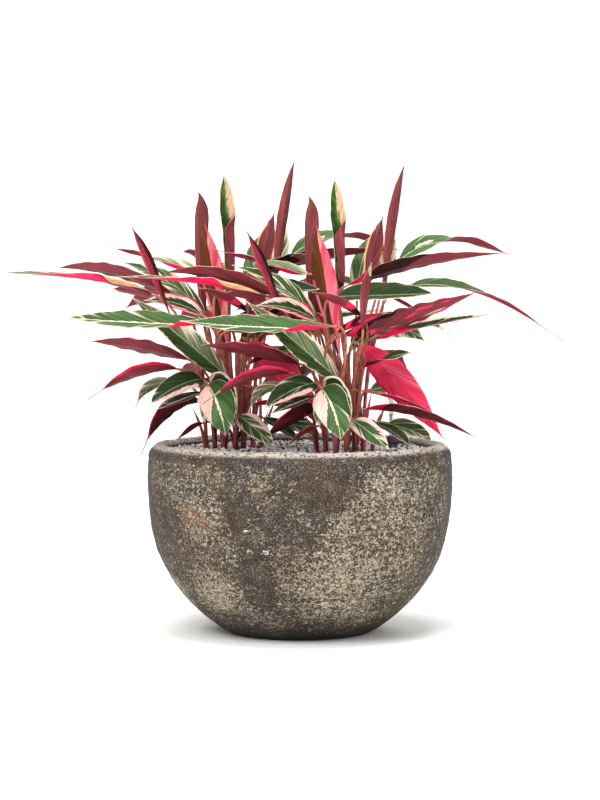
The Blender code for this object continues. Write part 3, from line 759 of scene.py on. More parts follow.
class Stuff(Enum):
    """Finishes that are one plain stuff."""

    # peat and bark compost, moist: nearly black brown with fibres
    SOIL = Mottled("moist_peat_compost", 0.95, 0.2, patch_mm=4.0, detail=4.0, strength=0.8,
                   depth_mm=1.5, tones=((0.35, "#18110c"), (0.65, "#3d2d20")))
    # a blade's cut-thin margin, grown: a waxy line between its two faces
    MARGIN = Mottled("leaf_margin", 0.5, 0.4, patch_mm=22.0,
                     tones=((0.42, "#8c3d48"), (0.6, "#dcb4a4")))
    # matt backdrop paper, nearly white, with hardly any fibre to see
    PAPER = Mottled("matt_paper_sweep", 0.9, 0.2, patch_mm=2.5, detail=1.0,
                    tones=((0.3, "#f6f5f3"), (0.7, "#f9f8f6")))
    # the water gauge's four plastics
    BLACK = MouldedPlastic("black_polypropylene", 0.45,
                           tones=((0.35, "#241c26"), (0.72, "#3a3140")))
    CLEAR = MouldedPlastic("clear_polystyrene_tube", 0.2, cover=0.25,
                           tones=((0.35, "#8b8e91"), (0.72, "#929598")))
    YELLOW = MouldedPlastic("yellow_float_plastic",
                            tones=((0.35, "#f0b000"), (0.72, "#f6bc10")))
    WHITE = MouldedPlastic("white_rod_plastic",
                           tones=((0.35, "#d6d7d4"), (0.72, "#e2e3e0")))


class Upper(Enum):
    """Upper faces found on the plants."""

    STRIPED = UpperSkin("leaf_upper_striped", flames=-0.005)
    DARK = UpperSkin("leaf_upper_dark", dark="#18260f", mid="#2f4724", pale="#7f8f68",
                     flames=-0.09)
    DEEP = UpperSkin("leaf_upper_deep", dark="#101c0a", mid="#2c4220", pale="#63754e",
                     flames=-0.13)
    MIDGREEN = UpperSkin("leaf_upper_mid_green", dark="#38522b", mid="#547045", pale="#8a9a72",
                         stripe="#d8d2b4", flames=-0.075)
    TAWNY = UpperSkin("leaf_upper_tawny", dark="#38522b", mid="#547045", pale="#8a9a72",
                      patch=("#cb8f62", "#e2ae80"), flames=-0.05)
    FRESH = UpperSkin("leaf_upper_fresh", dark="#2f4c17", mid="#567a2c", pale="#9aae78",
                      patch=("#cd9a78", "#e4bf9e"), flames=-0.2)
    GREY = UpperSkin("leaf_upper_grey_green", dark="#46583a", mid="#7d8a66", pale="#a3ab88",
                     flames=-0.01)
    CREAMY = UpperSkin("leaf_upper_creamy", mid="#55704a", cream="#c9c2a8", flames=0.05)


class Under(Enum):
    """Under faces found on the plants."""

    WINE = UnderSkin("leaf_under_wine")
    DARK_WINE = UnderSkin("leaf_under_dark_wine", deep="#34120f", base="#5e2328",
                          glow="#7c353c", margin="#a83c50")
    MADDER = UnderSkin("leaf_under_madder", deep="#701f30", base="#98303f", glow="#bf4358",
                       margin="#d86a7c")
    RUSSET = UnderSkin("leaf_under_russet", deep="#5c262b", base="#84403f", glow="#9c524c",
                       margin="#c05a68")
    CRIMSON = UnderSkin("leaf_under_crimson", deep="#c01f44", base="#da3558", glow="#f06a82",
                        margin="#f08095", stalk_shade="#b01a3a")
    ROSE = UnderSkin("leaf_under_rose", deep="#b03450", base="#dc5068", glow="#f09098",
                     margin="#f5b9b0", stalk_shade="#a02a44")
    BRONZE = UnderSkin("leaf_under_bronze", deep="#46220f", base="#6a3a1e", glow="#84502f",
                       margin="#d84f68", hot=("#d8405c", "#f0808c"))


# ---------------------------------------------------------------- leaves


class Plant(NamedTuple):
    """One plant: its name, crown position and size."""

    name: str
    x: float
    y: float
    size: float


PLANTS = (Plant("right", 0.0545, -0.035, 0.988), Plant("left", -0.0820, 0.035, 1.012))


class Outline(Enum):
    """Outlines of a blade: share of its length, and half-width as a share of the widest."""

    LANCE = ((0.0, 0.05), (0.05, 0.28), (0.15, 0.64), (0.30, 0.93), (0.43, 1.0), (0.60, 0.90),
             (0.76, 0.61), (0.88, 0.28), (0.95, 0.08), (1.0, 0.0))
    OVAL = ((0.0, 0.14), (0.03, 0.42), (0.09, 0.74), (0.22, 0.96), (0.38, 1.0), (0.58, 0.92),
            (0.76, 0.68), (0.89, 0.36), (0.96, 0.11), (1.0, 0.0))
    SWORD = ((0.0, 0.22), (0.10, 0.48), (0.35, 0.76), (0.60, 0.93), (0.78, 1.0), (0.87, 0.84),
             (0.95, 0.36), (1.0, 0.0))
    TAILED = ((0.0, 0.05), (0.05, 0.28), (0.15, 0.64), (0.30, 0.93), (0.42, 1.0), (0.56, 0.88),
              (0.70, 0.58), (0.80, 0.24), (0.87, 0.05), (1.0, 0.0))
    SHEATH = ((0.0, 0.20), (0.12, 0.45), (0.25, 0.76), (0.40, 0.86), (0.55, 1.0), (0.65, 0.80),
              (0.76, 0.60), (0.86, 0.50), (0.93, 0.26), (0.97, 0.08), (1.0, 0.0))
    SPEAR = ((0.0, 0.10), (0.15, 0.46), (0.38, 0.88), (0.55, 1.0), (0.72, 0.82), (0.86, 0.42),
             (0.94, 0.13), (1.0, 0.0))

    def at(self, share: float) -> float:
        """Half-width at a share of the length.

        Args:
            share: Share of the blade's length, from the stalk.

        Returns:
            The half-width, as a share of the widest.
        """
        points = self.value
        last = len(points) - 1
        index = max(i for i in range(last) if points[i][0] <= max(min(share, 1.0), 0.0))
        start, end = points[index], points[index + 1]
        before = points[max(index - 1, 0)]
        after = points[min(index + 2, last)]
        gap = end[0] - start[0]
        t = min(max((share - start[0]) / gap, 0.0), 1.0)
        leave = (end[1] - before[1]) / (end[0] - before[0]) * gap
        arrive = (after[1] - start[1]) / (after[0] - start[0]) * gap
        drop = 2.0 * t ** 3 - 3.0 * t * t
        bend = leave * (t ** 3 - 2.0 * t * t + t) + arrive * (t ** 3 - t * t)
        return max(start[1] * (1.0 + drop) - end[1] * drop + bend, 0.0)


class Curl(NamedTuple):
    """A margin that turns over, towards the upper face if its angle is above 0.

    The part of the blade beyond `low` turns, as a share of the half-width from the midrib, up to
    the knee; from there the turned part narrows or widens to `high` at the end.
    """

    side: float
    begin: float
    knee: float
    end: float
    low: float
    high: float
    angle: float

    def flat(self, share: float) -> float:
        """How far out the blade stays flat, at a share of its length."""
        return self.low + (self.high - self.low) * smoothstep(self.knee, self.end, share)


class Stain(NamedTuple):
    """A patch of another colour on one face: which tint, where along and where across."""

    tint: int
    begin: float
    end: float
    low: float = -2.0
    high: float = 2.0
    slant: float = 0.0           # how much nearer the stalk it lies at 1 across than at the midrib


class Leaf(NamedTuple):
    """One leaf of a plant, in millimetres right, back and up from the crown, and degrees.

    lean tips the variegation: above 0 the half from -1 to 0 across is greener and the other
    one creamier.
    """

    name: str
    base: tuple[float, float, float]
    middle: tuple[float, float, float]
    tip: tuple[float, float, float]
    width: float
    roll_base: float
    roll_tip: float
    fold: float
    upper: Upper
    under: Under
    outline: Outline = Outline.LANCE
    lean: float = 0.0
    curls: tuple[Curl, ...] = ()
    under_stains: tuple[Stain, ...] = ()
    upper_stains: tuple[Stain, ...] = ()
    begin: float = 0.0               # share of the midrib that stays bare stalk
    wave: float = 1.0                # how much the margins wave
    hook: float = 0.0                # millimetres to the right that its last tenth bends aside


# short names for the tables of leaves
U = Upper
V = Under

HOT, PEACH, DARK, PALE = range(4)            # tints of the under face
BLUSH, CREAM, FOREST, ROSY = range(4)        # tints of the upper face

# leaves whose solids are in the frame
FRAMED = (
    Leaf("front_broad", (-32, -60, 75), (-16, -108, 51), (-7, -118, 14), 42, 2, 2, 8,
         U.MIDGREEN, V.WINE, Outline.OVAL, begin=0.09,
         upper_stains=(Stain(BLUSH, -0.42, 0.30, -2, -0.10, 0.42),
                       Stain(FOREST, -1, 0.34, 0.04, 2, -0.30),
                       Stain(CREAM, 0.34, 0.80, -0.11, 0.04), Stain(CREAM, -1, 0.45, 0.88, 2))),
    Leaf("long_green", (-16, -90, 147), (-101, -125, 147), (-195, -150, 155), 38, 66, 46, 20,
         U.MIDGREEN, V.ROSE, curls=(Curl(-1, 0.0, 0.24, 0.46, 0.50, 1.0, 118),), wave=1.6,
         under_stains=(Stain(HOT, -1, 0.6),),
         upper_stains=(Stain(CREAM, 0.12, 0.90, -0.09, 0.06),)),
    Leaf("diagonal_green", (-8, -40, 81), (-55, -62, 123), (-122, -85, 179), 38, 38, 35, 10,
         U.GREY, V.WINE,
         upper_stains=(Stain(CREAM, -1, 0.75, 0.86, 2),
                       Stain(FOREST, 0.05, 0.95, -0.92, -0.08))),
    Leaf("crimson_fall", (18, -15, 122), (65, -35, 76), (118, -62, 11), 40, 165, 165, 8,
         U.STRIPED, V.CRIMSON, under_stains=(Stain(HOT, -1, 0.10),)),
    Leaf("broad_green", (-10, -20, 182), (47, -45, 184), (105, -70, 186), 46, 62, 62, 16,
         U.DEEP, V.WINE, Outline.OVAL,
         upper_stains=(Stain(CREAM, 0.1, 0.96, -2, -0.86), Stain(CREAM, 0.965, 2))),
    Leaf("bright_midrise", (-5, -20, 134), (75, -10, 155), (163, 0, 188), 36, 134, 130, 10,
         U.STRIPED, V.WINE, wave=3.2,
         under_stains=(Stain(HOT, 0.05, 0.12, slant=0.03), Stain(DARK, 0.12, 0.20, slant=0.03),
                       Stain(HOT, 0.20, 0.28, 0.1, 0.9, 0.1),
                       Stain(HOT, 0.24, 0.55, -0.16, -0.02, 0.1),
                       Stain(DARK, 0.22, 0.38, -2, -0.55), Stain(PALE, 0.34, 0.80, 0.46, 0.52),
                       Stain(HOT, 0.34, 0.84, 0.54, 0.66), Stain(HOT, 0.30, 0.9, 0.88, 2),
                       Stain(HOT, 0.5, 0.86, -0.5, -0.40))),
    Leaf("rolled_pink", (-8, -10, 111), (-25, -15, 192), (-36, -22, 271), 37, 165, 178, 44,
         U.CREAMY, V.BRONZE, Outline.SPEAR,
         under_stains=(Stain(HOT, -1, 0.985, -2, -0.12, 0.04), Stain(HOT, -1, 0.5, 0.76, 2),
                       Stain(PEACH, 0.45, 0.9, -0.32, -0.20, 0.04),
                       Stain(PEACH, 0.2, 0.7, -0.84, -0.74))),
    Leaf("upright_split", (-6, 30, 168), (-7, 30, 248), (-13, 26, 328), 31, 12, 16, 14,
         U.FRESH, V.WINE, Outline.SHEATH,
         curls=(Curl(1, -1.0, 0.54, 0.78, -0.10, 1.0, 170),),
         under_stains=(Stain(DARK, -1, 0.16),),
         upper_stains=(Stain(BLUSH, 0.50, 2, 0.10, 2), Stain(FOREST, 0.3, 0.80, -2, -0.35))),
    Leaf("tall_curl", (49, 45, 179), (60, 48, 271), (75, 50, 348), 21, 172, 168, 60,
         U.STRIPED, V.RUSSET, Outline.SPEAR, lean=-0.10, hook=1.0,
         under_stains=(Stain(PALE, 0.955, 2),)),
    Leaf("tall_broad", (-38, 25, 147), (-43, 26, 230), (-41, 25, 305), 27, 172, 165, 58,
         U.STRIPED, V.RUSSET, Outline.SWORD, lean=0.04, hook=-3.0,
         under_stains=(Stain(HOT, 0.1, 0.6, 0.9, 2),)),
    Leaf("long_dark", (3, 15, 195), (90, 25, 221), (200, 35, 235), 36, 122, 112, 14,
         U.STRIPED, V.WINE, curls=(Curl(1, -1, 0.05, 0.20, -0.1, 1.0, 130),),
         under_stains=(Stain(HOT, -1, 0.11, slant=0.03), Stain(DARK, 0.11, 0.42, slant=0.1),
                       Stain(PALE, 0.955, 2))),
    Leaf("arching_right", (69, 70, 226), (129, 78, 250), (206, 70, 233), 36, 36, 128, 18,
         U.MIDGREEN, V.WINE,
         under_stains=(Stain(PALE, 0.95, 2),),
         upper_stains=(Stain(CREAM, 0.18, 0.36, 0.12, 0.32),)),
    Leaf("spike_right", (20, -75, 142), (23, -82, 185), (30, -88, 223), 17, 170, 170, 56,
         U.STRIPED, V.RUSSET, Outline.SPEAR, lean=-0.10,
         under_stains=(Stain(PALE, 0.80, 2, slant=0.08),)),
    Leaf("striped_right", (31, 15, 128), (99, 15, 144), (186, 18, 161), 32, 72, 74, 24,
         U.DARK, V.ROSE, curls=(Curl(-1, -1, 0.12, 0.50, 0.25, 1.0, 95),),
         under_stains=(Stain(HOT, 0.1, 0.5),),
         upper_stains=(Stain(CREAM, 0.15, 0.9, 0.62, 2), Stain(CREAM, 0.84, 2))),
    Leaf("long_fall", (75, 60, 193), (168, 62, 185), (274, 55, 124), 26, 44, 122, 22,
         U.MIDGREEN, V.MADDER, Outline.TAILED, curls=(Curl(-1, -1, 0.04, 0.14, 0.0, 1.0, 150),),
         under_stains=(Stain(HOT, -1, 0.06), Stain(PALE, 0.90, 2))),
    Leaf("low_burgundy", (24, -35, 45), (87, -60, 41), (156, -90, 14), 27, 118, 114, 12,
         U.STRIPED, V.DARK_WINE, under_stains=(Stain(HOT, -1, 0.16, slant=0.04),)),
    Leaf("low_striped", (9, -70, 34), (29, -95, 20), (50, -110, 2), 27, 30, 30, 10,
         U.STRIPED, V.WINE, Outline.OVAL, lean=0.04,
         upper_stains=(Stain(BLUSH, -1, 0.58, 0.62, 2, -0.1), Stain(BLUSH, -1, 0.24, -2, -0.62))),
    Leaf("left_front", (-38, -55, 78), (-66, -80, 70), (-97, -100, 50), 35, 46, 44, 14,
         U.DARK, V.WINE, Outline.OVAL,
         upper_stains=(Stain(BLUSH, 0.02, 0.96, -2, -0.52, 0.1), Stain(CREAM, 0.94, 2))),
    Leaf("left_pink_edge", (-67, -40, 89), (-118, -65, 84), (-171, -95, 55), 29, 122, 122, 15,
         U.STRIPED, V.WINE, Outline.TAILED,
         under_stains=(Stain(HOT, -1, 0.66, -2, -0.66, 0.06), Stain(PALE, 0.80, 0.93))),
    Leaf("left_burgundy", (-55, -10, 99), (-115, -20, 115), (-175, -30, 123), 33, 122, 122, 10,
         U.STRIPED, V.WINE, wave=2.0,
         under_stains=(Stain(PALE, 0.965, 2), Stain(HOT, 0.45, 0.6, -2, -0.88))),
    Leaf("upper_striped", (-36, 0, 158), (-75, -20, 192), (-137, -40, 220), 33, 54, 54, 14,
         U.STRIPED, V.ROSE, curls=(Curl(-1, -1, 0.2, 0.5, 0.4, 1.0, 100),),
         under_stains=(Stain(HOT, -1, 0.5),)),
    Leaf("longest_left", (-96, -65, 180), (-173, -90, 198), (-273, -120, 206), 34, 130, 76, 20,
         U.TAWNY, V.MADDER, curls=(Curl(-1, -1, 0.30, 0.50, 0.42, 1.0, -150),),
         under_stains=(Stain(HOT, 0.34, 0.90, -2, 0.45, 0.05),),
         upper_stains=(Stain(BLUSH, -1, 0.52), Stain(CREAM, 0.955, 2))),
    Leaf("dark_left", (-76, -15, 180), (-152, 10, 206), (-221, 30, 211), 35, 120, 114, 14,
         U.STRIPED, V.WINE, lean=-0.06,
         under_stains=(Stain(DARK, 0.3, 0.75, 0.3, 2), Stain(PALE, 0.97, 2))),
    Leaf("back_left", (-20, 60, 150), (-45, 115, 160), (-75, 165, 125), 40, -12, 8, 14,
         U.STRIPED, V.WINE, Outline.OVAL),
    Leaf("back_right", (25, 55, 110), (55, 105, 105), (80, 150, 60), 38, 10, -8, 14,
         U.MIDGREEN, V.WINE, Outline.OVAL, upper_stains=(Stain(CREAM, 0.1, 0.8, 0.5, 2),)),
)

# the framed leaf that differs between the plants
OWN = {
    "right": Leaf("low_dark", (-38, -10, 42), (-63, -20, 34), (-96, -35, 12), 36, 124, 124, 12,
                  U.STRIPED, V.DARK_WINE, Outline.OVAL,
                  under_stains=(Stain(HOT, 0.3, 0.7, -2, -0.85),)),
    "left": Leaf("over_lip", (-39, -22, 48), (-80, -30, 38), (-112, -38, -16), 35, 124, 124, 10,
                 U.STRIPED, V.DARK_WINE, Outline.TAILED,
                 under_stains=(Stain(HOT, 0.25, 0.7, -2, -0.85), Stain(HOT, 0.80, 0.90),
                               Stain(PALE, 0.90, 2))),
}

# smaller and more hidden leaves, which the frame has no solids of
ADDED = (
    Leaf("front_second", (-26, -46, 71), (-12, -74, 62), (3, -92, 23), 36, 4, 4, 10,
         U.DARK, V.WINE, Outline.OVAL,
         upper_stains=(Stain(BLUSH, -1, 0.03), Stain(CREAM, -1, 0.9, 0.86, 2))),
    Leaf("pale_left", (-45, 25, 209), (-97, 35, 221), (-166, 45, 241), 34, 44, 124, 16,
         U.GREY, V.MADDER, Outline.TAILED, curls=(Curl(-1, -1, 0.2, 0.5, 0.45, 1.0, 90),),
         under_stains=(Stain(HOT, 0.05, 0.6), Stain(PALE, 0.86, 2))),
    Leaf("spike_left", (-76, -70, 159), (-99, -82, 214), (-118, -95, 260), 18, 160, 160, 52,
         U.STRIPED, V.MADDER, Outline.SPEAR, lean=0.22,
         under_stains=(Stain(DARK, 0.1, 0.9, -2, -0.5), Stain(HOT, 0.1, 0.94, 0.74, 2))),
    Leaf("pink_bend", (18, -55, 158), (-9, -80, 176), (-41, -105, 188), 18, 128, 125, 12,
         U.STRIPED, V.WINE,
         under_stains=(Stain(HOT, 0.21, 0.36, slant=-0.06), Stain(DARK, -1, 0.21, slant=-0.06),
                       Stain(PEACH, 0.96, 2))),
    Leaf("short_pink", (-10, -60, 139), (19, -68, 153), (50, -76, 163), 19, 125, 125, 14,
         U.STRIPED, V.MADDER, wave=2.5,
         under_stains=(Stain(DARK, -1, 0.14), Stain(HOT, 0.14, 0.26, slant=0.04),
                       Stain(DARK, 0.26, 0.40, slant=0.04), Stain(HOT, 0.40, 0.8, -0.3, 0.4),
                       Stain(PALE, 0.90, 2))),
    Leaf("small_right", (20, -35, 95), (49, -55, 108), (79, -75, 116), 25, 118, 46, 12,
         U.DARK, V.DARK_WINE, under_stains=(Stain(HOT, -1, 0.10),)),
    Leaf("small_back", (32, 40, 65), (60, 55, 72), (84, 70, 86), 26, 38, 38, 14,
         U.MIDGREEN, V.WINE),
    Leaf("crimson_strip", (14, -30, 68), (60, -45, 58), (106, -60, 41), 16, 104, 110, 18,
         U.STRIPED, V.CRIMSON, under_stains=(Stain(PEACH, -1, 0.30), Stain(HOT, 0.3, 0.6))),
    Leaf("rim_dark", (36, -20, 29), (59, -40, 17), (78, -60, 2), 26, 60, 56, 18,
         U.DARK, V.CRIMSON, curls=(Curl(1, 0.2, 0.5, 1.0, 0.6, 0.9, -70),)),
    Leaf("rim_striped", (53, 5, 24), (81, -10, 18), (105, -30, 6), 28, 46, 46, 14,
         U.STRIPED, V.WINE, Outline.OVAL),
    Leaf("left_under", (-37, -45, 62), (-64, -60, 52), (-91, -75, 42), 24, 66, 66, 14,
         U.DARK, V.ROSE, upper_stains=(Stain(CREAM, 0.1, 0.9, -0.2, 0.15),)),
    Leaf("left_arch", (-71, -15, 74), (-101, -35, 67), (-117, -60, 42), 20, 55, 35, 14,
         U.GREY, V.CRIMSON, Outline.TAILED),
    Leaf("pink_margins", (-36, -30, 153), (-69, -50, 169), (-107, -75, 172), 28, 52, 52, 14,
         U.DARK, V.ROSE, upper_stains=(Stain(BLUSH, -1, 0.9, 0.5, 2), Stain(ROSY, 0, 1, -2, -0.6))),
    Leaf("blunt_left", (-55, -15, 163), (-101, -30, 178), (-143, -50, 187), 24, 120, 120, 12,
         U.STRIPED, V.WINE, Outline.SWORD),
    Leaf("back_pointed", (29, 70, 190), (37, 76, 234), (49, 84, 281), 23, 165, 165, 18,
         U.STRIPED, V.RUSSET, Outline.SPEAR,
         under_stains=(Stain(PEACH, 0.0, 0.8, -2, -0.84), Stain(HOT, 0, 1, 0.94, 2))),
    Leaf("back_striped", (18, 100, 189), (25, 122, 229), (39, 142, 257), 26, 30, 30, 14,
         U.MIDGREEN, V.WINE, Outline.OVAL,
         upper_stains=(Stain(CREAM, 0.0, 1.0, -0.80, -0.30),)),
    Leaf("back_pale", (51, 95, 205), (56, 110, 239), (58, 120, 270), 30, 30, 30, 14,
         U.CREAMY, V.WINE, Outline.OVAL),
    Leaf("back_curl", (-28, 60, 205), (-48, 72, 226), (-67, 84, 231), 18, 122, 122, 12,
         U.STRIPED, V.RUSSET),
    Leaf("low_narrow", (-37, -25, 23), (-52, -35, 16), (-68, -50, 4), 14, 120, 120, 10,
         U.STRIPED, V.WINE),
    Leaf("tiny_front", (-30, -80, 60), (-33, -90, 46), (-32, -96, 28), 13, 10, 10, 10,
         U.CREAMY, V.WINE, Outline.OVAL),
    Leaf("inner_crimson", (-9, -25, 78), (-25, -25, 92), (-41, -25, 114), 22, 145, 145, 10,
         U.STRIPED, V.CRIMSON),
    Leaf("inner_dark", (7, 30, 65), (2, 32, 93), (1, 34, 115), 12, 60, 60, 20,
         U.DARK, V.WINE),
    Leaf("thin_tip", (62, 40, 152), (102, 40, 149), (135, 40, 131), 18, 62, 66, 14,
         U.MIDGREEN, V.MADDER, Outline.TAILED, upper_stains=(Stain(CREAM, 0.7, 2),)),
    Leaf("inner_hot", (-12, 20, 120), (-34, 30, 150), (-62, 36, 168), 24, 130, 130, 12,
         U.STRIPED, V.CRIMSON),
    Leaf("inner_green", (10, 25, 118), (40, 34, 146), (74, 40, 160), 28, 40, 44, 14,
         U.DARK, V.WINE, Outline.OVAL),
    Leaf("back_high", (-15, 66, 200), (-30, 112, 214), (-44, 158, 204), 32, 8, -10, 14,
         U.STRIPED, V.WINE),
    Leaf("back_wide_left", (-50, 40, 165), (-95, 75, 178), (-140, 110, 160), 34, 140, 150, 14,
         U.MIDGREEN, V.WINE),
    Leaf("back_wide_right", (34, 60, 128), (70, 96, 140), (105, 128, 122), 34, 140, 150, 14,
         U.STRIPED, V.WINE),
    Leaf("back_low_left", (-25, 50, 80), (-50, 95, 84), (-70, 138, 50), 36, 12, -6, 14,
         U.STRIPED, V.WINE, Outline.OVAL),
    Leaf("back_low", (0, 60, 64), (5, 105, 56), (10, 140, 18), 32, -8, 8, 14,
         U.DARK, V.WINE, Outline.OVAL, upper_stains=(Stain(CREAM, 0.1, 0.9, -2, -0.6),)),
)


class LeafForm:
    """A leaf set in its plant: its midrib, faces and stalk, in the object's frame."""

    BLADE_THICK = 0.0005
    BACKWARD = 0.6               # a blade that heads further back than this is seen from above
    TILT_SLACK = 0.00005         # how far its sideways direction may point down unflipped
    FLAT_STEPS = 24              # steps over a blade's width
    CURLED_STEPS = 56            # the same where a margin turns over
    CURL_RADIUS = 0.0021
    WAVE_LENGTH = 0.026          # of the margins' waves
    WAVE_HEIGHT = 0.035          # of them, as a share of the blade's half-width
    WAVE_APART = 9.0             # between the waves of one leaf and another, in radians
    WAVE_SKEW = 1.3              # between a wave at the midrib and at the margin
    NICK_LENGTH = 0.013          # of the outline's unevenness
    NICK_DEPTH = 0.07            # of it, as a share of the half-width
    SIDES_APART = 3.0            # between the unevenness of a blade's two sides
    LEAVES_APART = 40.0          # and of one leaf and another
    CHANNEL_DEPTH = 0.0005       # of the midrib's channel
    CHANNEL_HALF = 0.0012        # half of its width
    CHANNEL_FADE = 0.004         # half-width of blade under which it fades
    ROLLED = 0.3                 # a blade that stays flat less far out rests on its roll's middle
    POINT_HALF = 0.00068         # least half-width at the tip
    NECK_HALF = 0.0009           # and how much more it is at the stalk
    HOOK_LENGTH = 0.10           # share of the midrib over which the tip turns aside
    FOLD_EASE = 0.12             # share of the half-width over which the fold sets in
    FOLD_FLATTENS = (1.15, 0.5)  # the fold at the midrib, and how much less it is at the margin
    CURL_STARTS = 0.06           # share of the length over which a margin begins to turn over
    CURL_STOPS = 0.05            # and over which it lies flat again
    LENGTH_PARTS = 12            # chords that the midrib's length is measured in
    OUTLINE_ROWS = 9             # parts of the coarse outline

    # how the stalk runs
    SPREAD = 0.34                # its foot goes this share of the blade's way out
    SCATTER = (0.013, 0.010)     # and this far aside at the most, right or left, back or forward
    CROWN_SHARE = 0.90           # share of the crown that feet stay inside
    FOOT_HEIGHT = 0.006          # height of its foot over the crown's floor
    NECK = 0.004                 # length of its straight end
    RISE = 0.45                  # share of its length over which it leaves the crown upwards
    ARRIVE = 0.18                # share of its length over which it turns into the blade's heading

    def __init__(self, plant: Plant, leaf: Leaf, base_push: float, tip_push: float,
                 raised: float) -> None:
        """Set a leaf.

        Args:
            plant: The plant it grows on.
            leaf: Its shape.
            base_push: How far back its base stands from the drawn place, in metres.
            tip_push: The same for its tip.
            raised: How much higher it stands.
        """
        self.plant = plant
        self.leaf = leaf
        self.lot = random.Random(leaf.name + plant.name).random()
        origin = Vector((plant.x, plant.y, LEAF_DATUM))
        pushes = (base_push, (base_push + tip_push) / 2.0, tip_push)
        spots = [origin + Vector(point) * MM * plant.size + Vector((0.0, push, raised))
                 for point, push in zip((leaf.base, leaf.middle, leaf.tip), pushes)]
        self.base, middle, self.tip = spots
        self.handle = middle * 2.0 - (self.base + self.tip) / 2.0
        chord = (self.tip - self.base).normalized()
        self.front = UP if chord.y > self.BACKWARD else Vector((0.0, -1.0, 0.0))
        tilt = chord.cross(self.front - chord * self.front.dot(chord)).z
        self.lift = -1.0 if tilt < -self.TILT_SLACK else 1.0
        parts = self.LENGTH_PARTS
        self.length = sum((self.along((i + 1) / parts) - self.along(i / parts)).length
                          for i in range(parts))
        side = Vector((leaf.base[0], leaf.base[1], 0.0)) * MM * self.SPREAD
        draw = random.Random("foot " + leaf.name + plant.name)
        side += Vector([draw.uniform(-most, most) for most in self.SCATTER] + [0.0])
        reach = math.hypot(side.x / CROWN_LENGTH, side.y / CROWN_DEPTH) / self.CROWN_SHARE
        if reach > 1.0:
            side /= reach
        self.foot = Vector((plant.x, plant.y, CROWN_FLOOR + self.FOOT_HEIGHT)) + side

    def along(self, share: float) -> Vector:
        """Point of the midrib at a share of its length.

        Args:
            share: Share of the midrib's length, from the stalk.

        Returns:
            The point.
        """
        rest = 1.0 - share
        point = self.base * rest * rest + self.handle * 2.0 * share * rest
        point += self.tip * share ** 2
        past = max(share - (1.0 - self.HOOK_LENGTH), 0.0) / self.HOOK_LENGTH
        return point + Vector((self.leaf.hook * MM * past * past, 0.0, 0.0))

    def heading(self, share: float) -> Vector:
        """Direction of the midrib at a share of its length."""
        start = (self.handle - self.base) * (1.0 - share)
        return (start + (self.tip - self.handle) * share).normalized()

    def axes(self, share: float) -> tuple[Vector, Vector]:
        """Directions across the blade and out of its upper face.

        Args:
            share: Share of the midrib's length, from the stalk.

        Returns:
            The two directions.
        """
        heading = self.heading(share)
        facing = (self.front - heading * self.front.dot(heading)).normalized()
        upward = heading.cross(facing) * self.lift
        ease = smoothstep(0.0, 1.0, share)
        turn = self.leaf.roll_base + (self.leaf.roll_tip - self.leaf.roll_base) * ease
        roll = math.radians(turn)
        across = upward * math.cos(roll) - facing * math.sin(roll)
        return across, facing * math.cos(roll) + upward * math.sin(roll)

    def half_width(self, share: float) -> float:
        """Half of the blade's width at a share of its length, in metres.

        Args:
            share: Share of the midrib's length, from the stalk.

        Returns:
            Half of the width.
        """
        begin = self.leaf.begin
        inside = (share - begin) / (1.0 - begin)
        shape = self.leaf.outline.at(inside)
        least = self.NECK_HALF * (1.0 - share) + self.POINT_HALF
        return max(shape * self.leaf.width * MM * self.plant.size / 2.0, least)

    def bend(self, share: float, edge: float, half: float) -> float:
        """Direction of the blade's section at a place across it, in radians.

        Args:
            share: Share of the midrib's length, from the stalk.
            edge: Place across the blade, from -1 to 1.
            half: Half of the blade's width there.

        Returns:
            The angle, above 0 where the section climbs to the upper side on its way from -1 to 1.
        """
        leaf = self.leaf
        out = abs(edge)
        eased = smoothstep(0.0, self.FOLD_EASE, out)
        most, less = self.FOLD_FLATTENS
        angle = math.radians(leaf.fold) * math.copysign(eased, edge) * (most - less * out)
        for curl in leaf.curls:
            fade = smoothstep(curl.begin, curl.begin + self.CURL_STARTS, share)
            fade *= 1.0 - smoothstep(curl.end - self.CURL_STOPS, curl.end, share)
            if fade <= 0.0:
                continue
            full = math.radians(abs(curl.angle))
            past = (edge * curl.side - curl.flat(share)) * half / self.CURL_RADIUS
            turned = min(max(past, 0.0), full)
            angle += curl.side * math.copysign(turned * fade, curl.angle)
        return angle

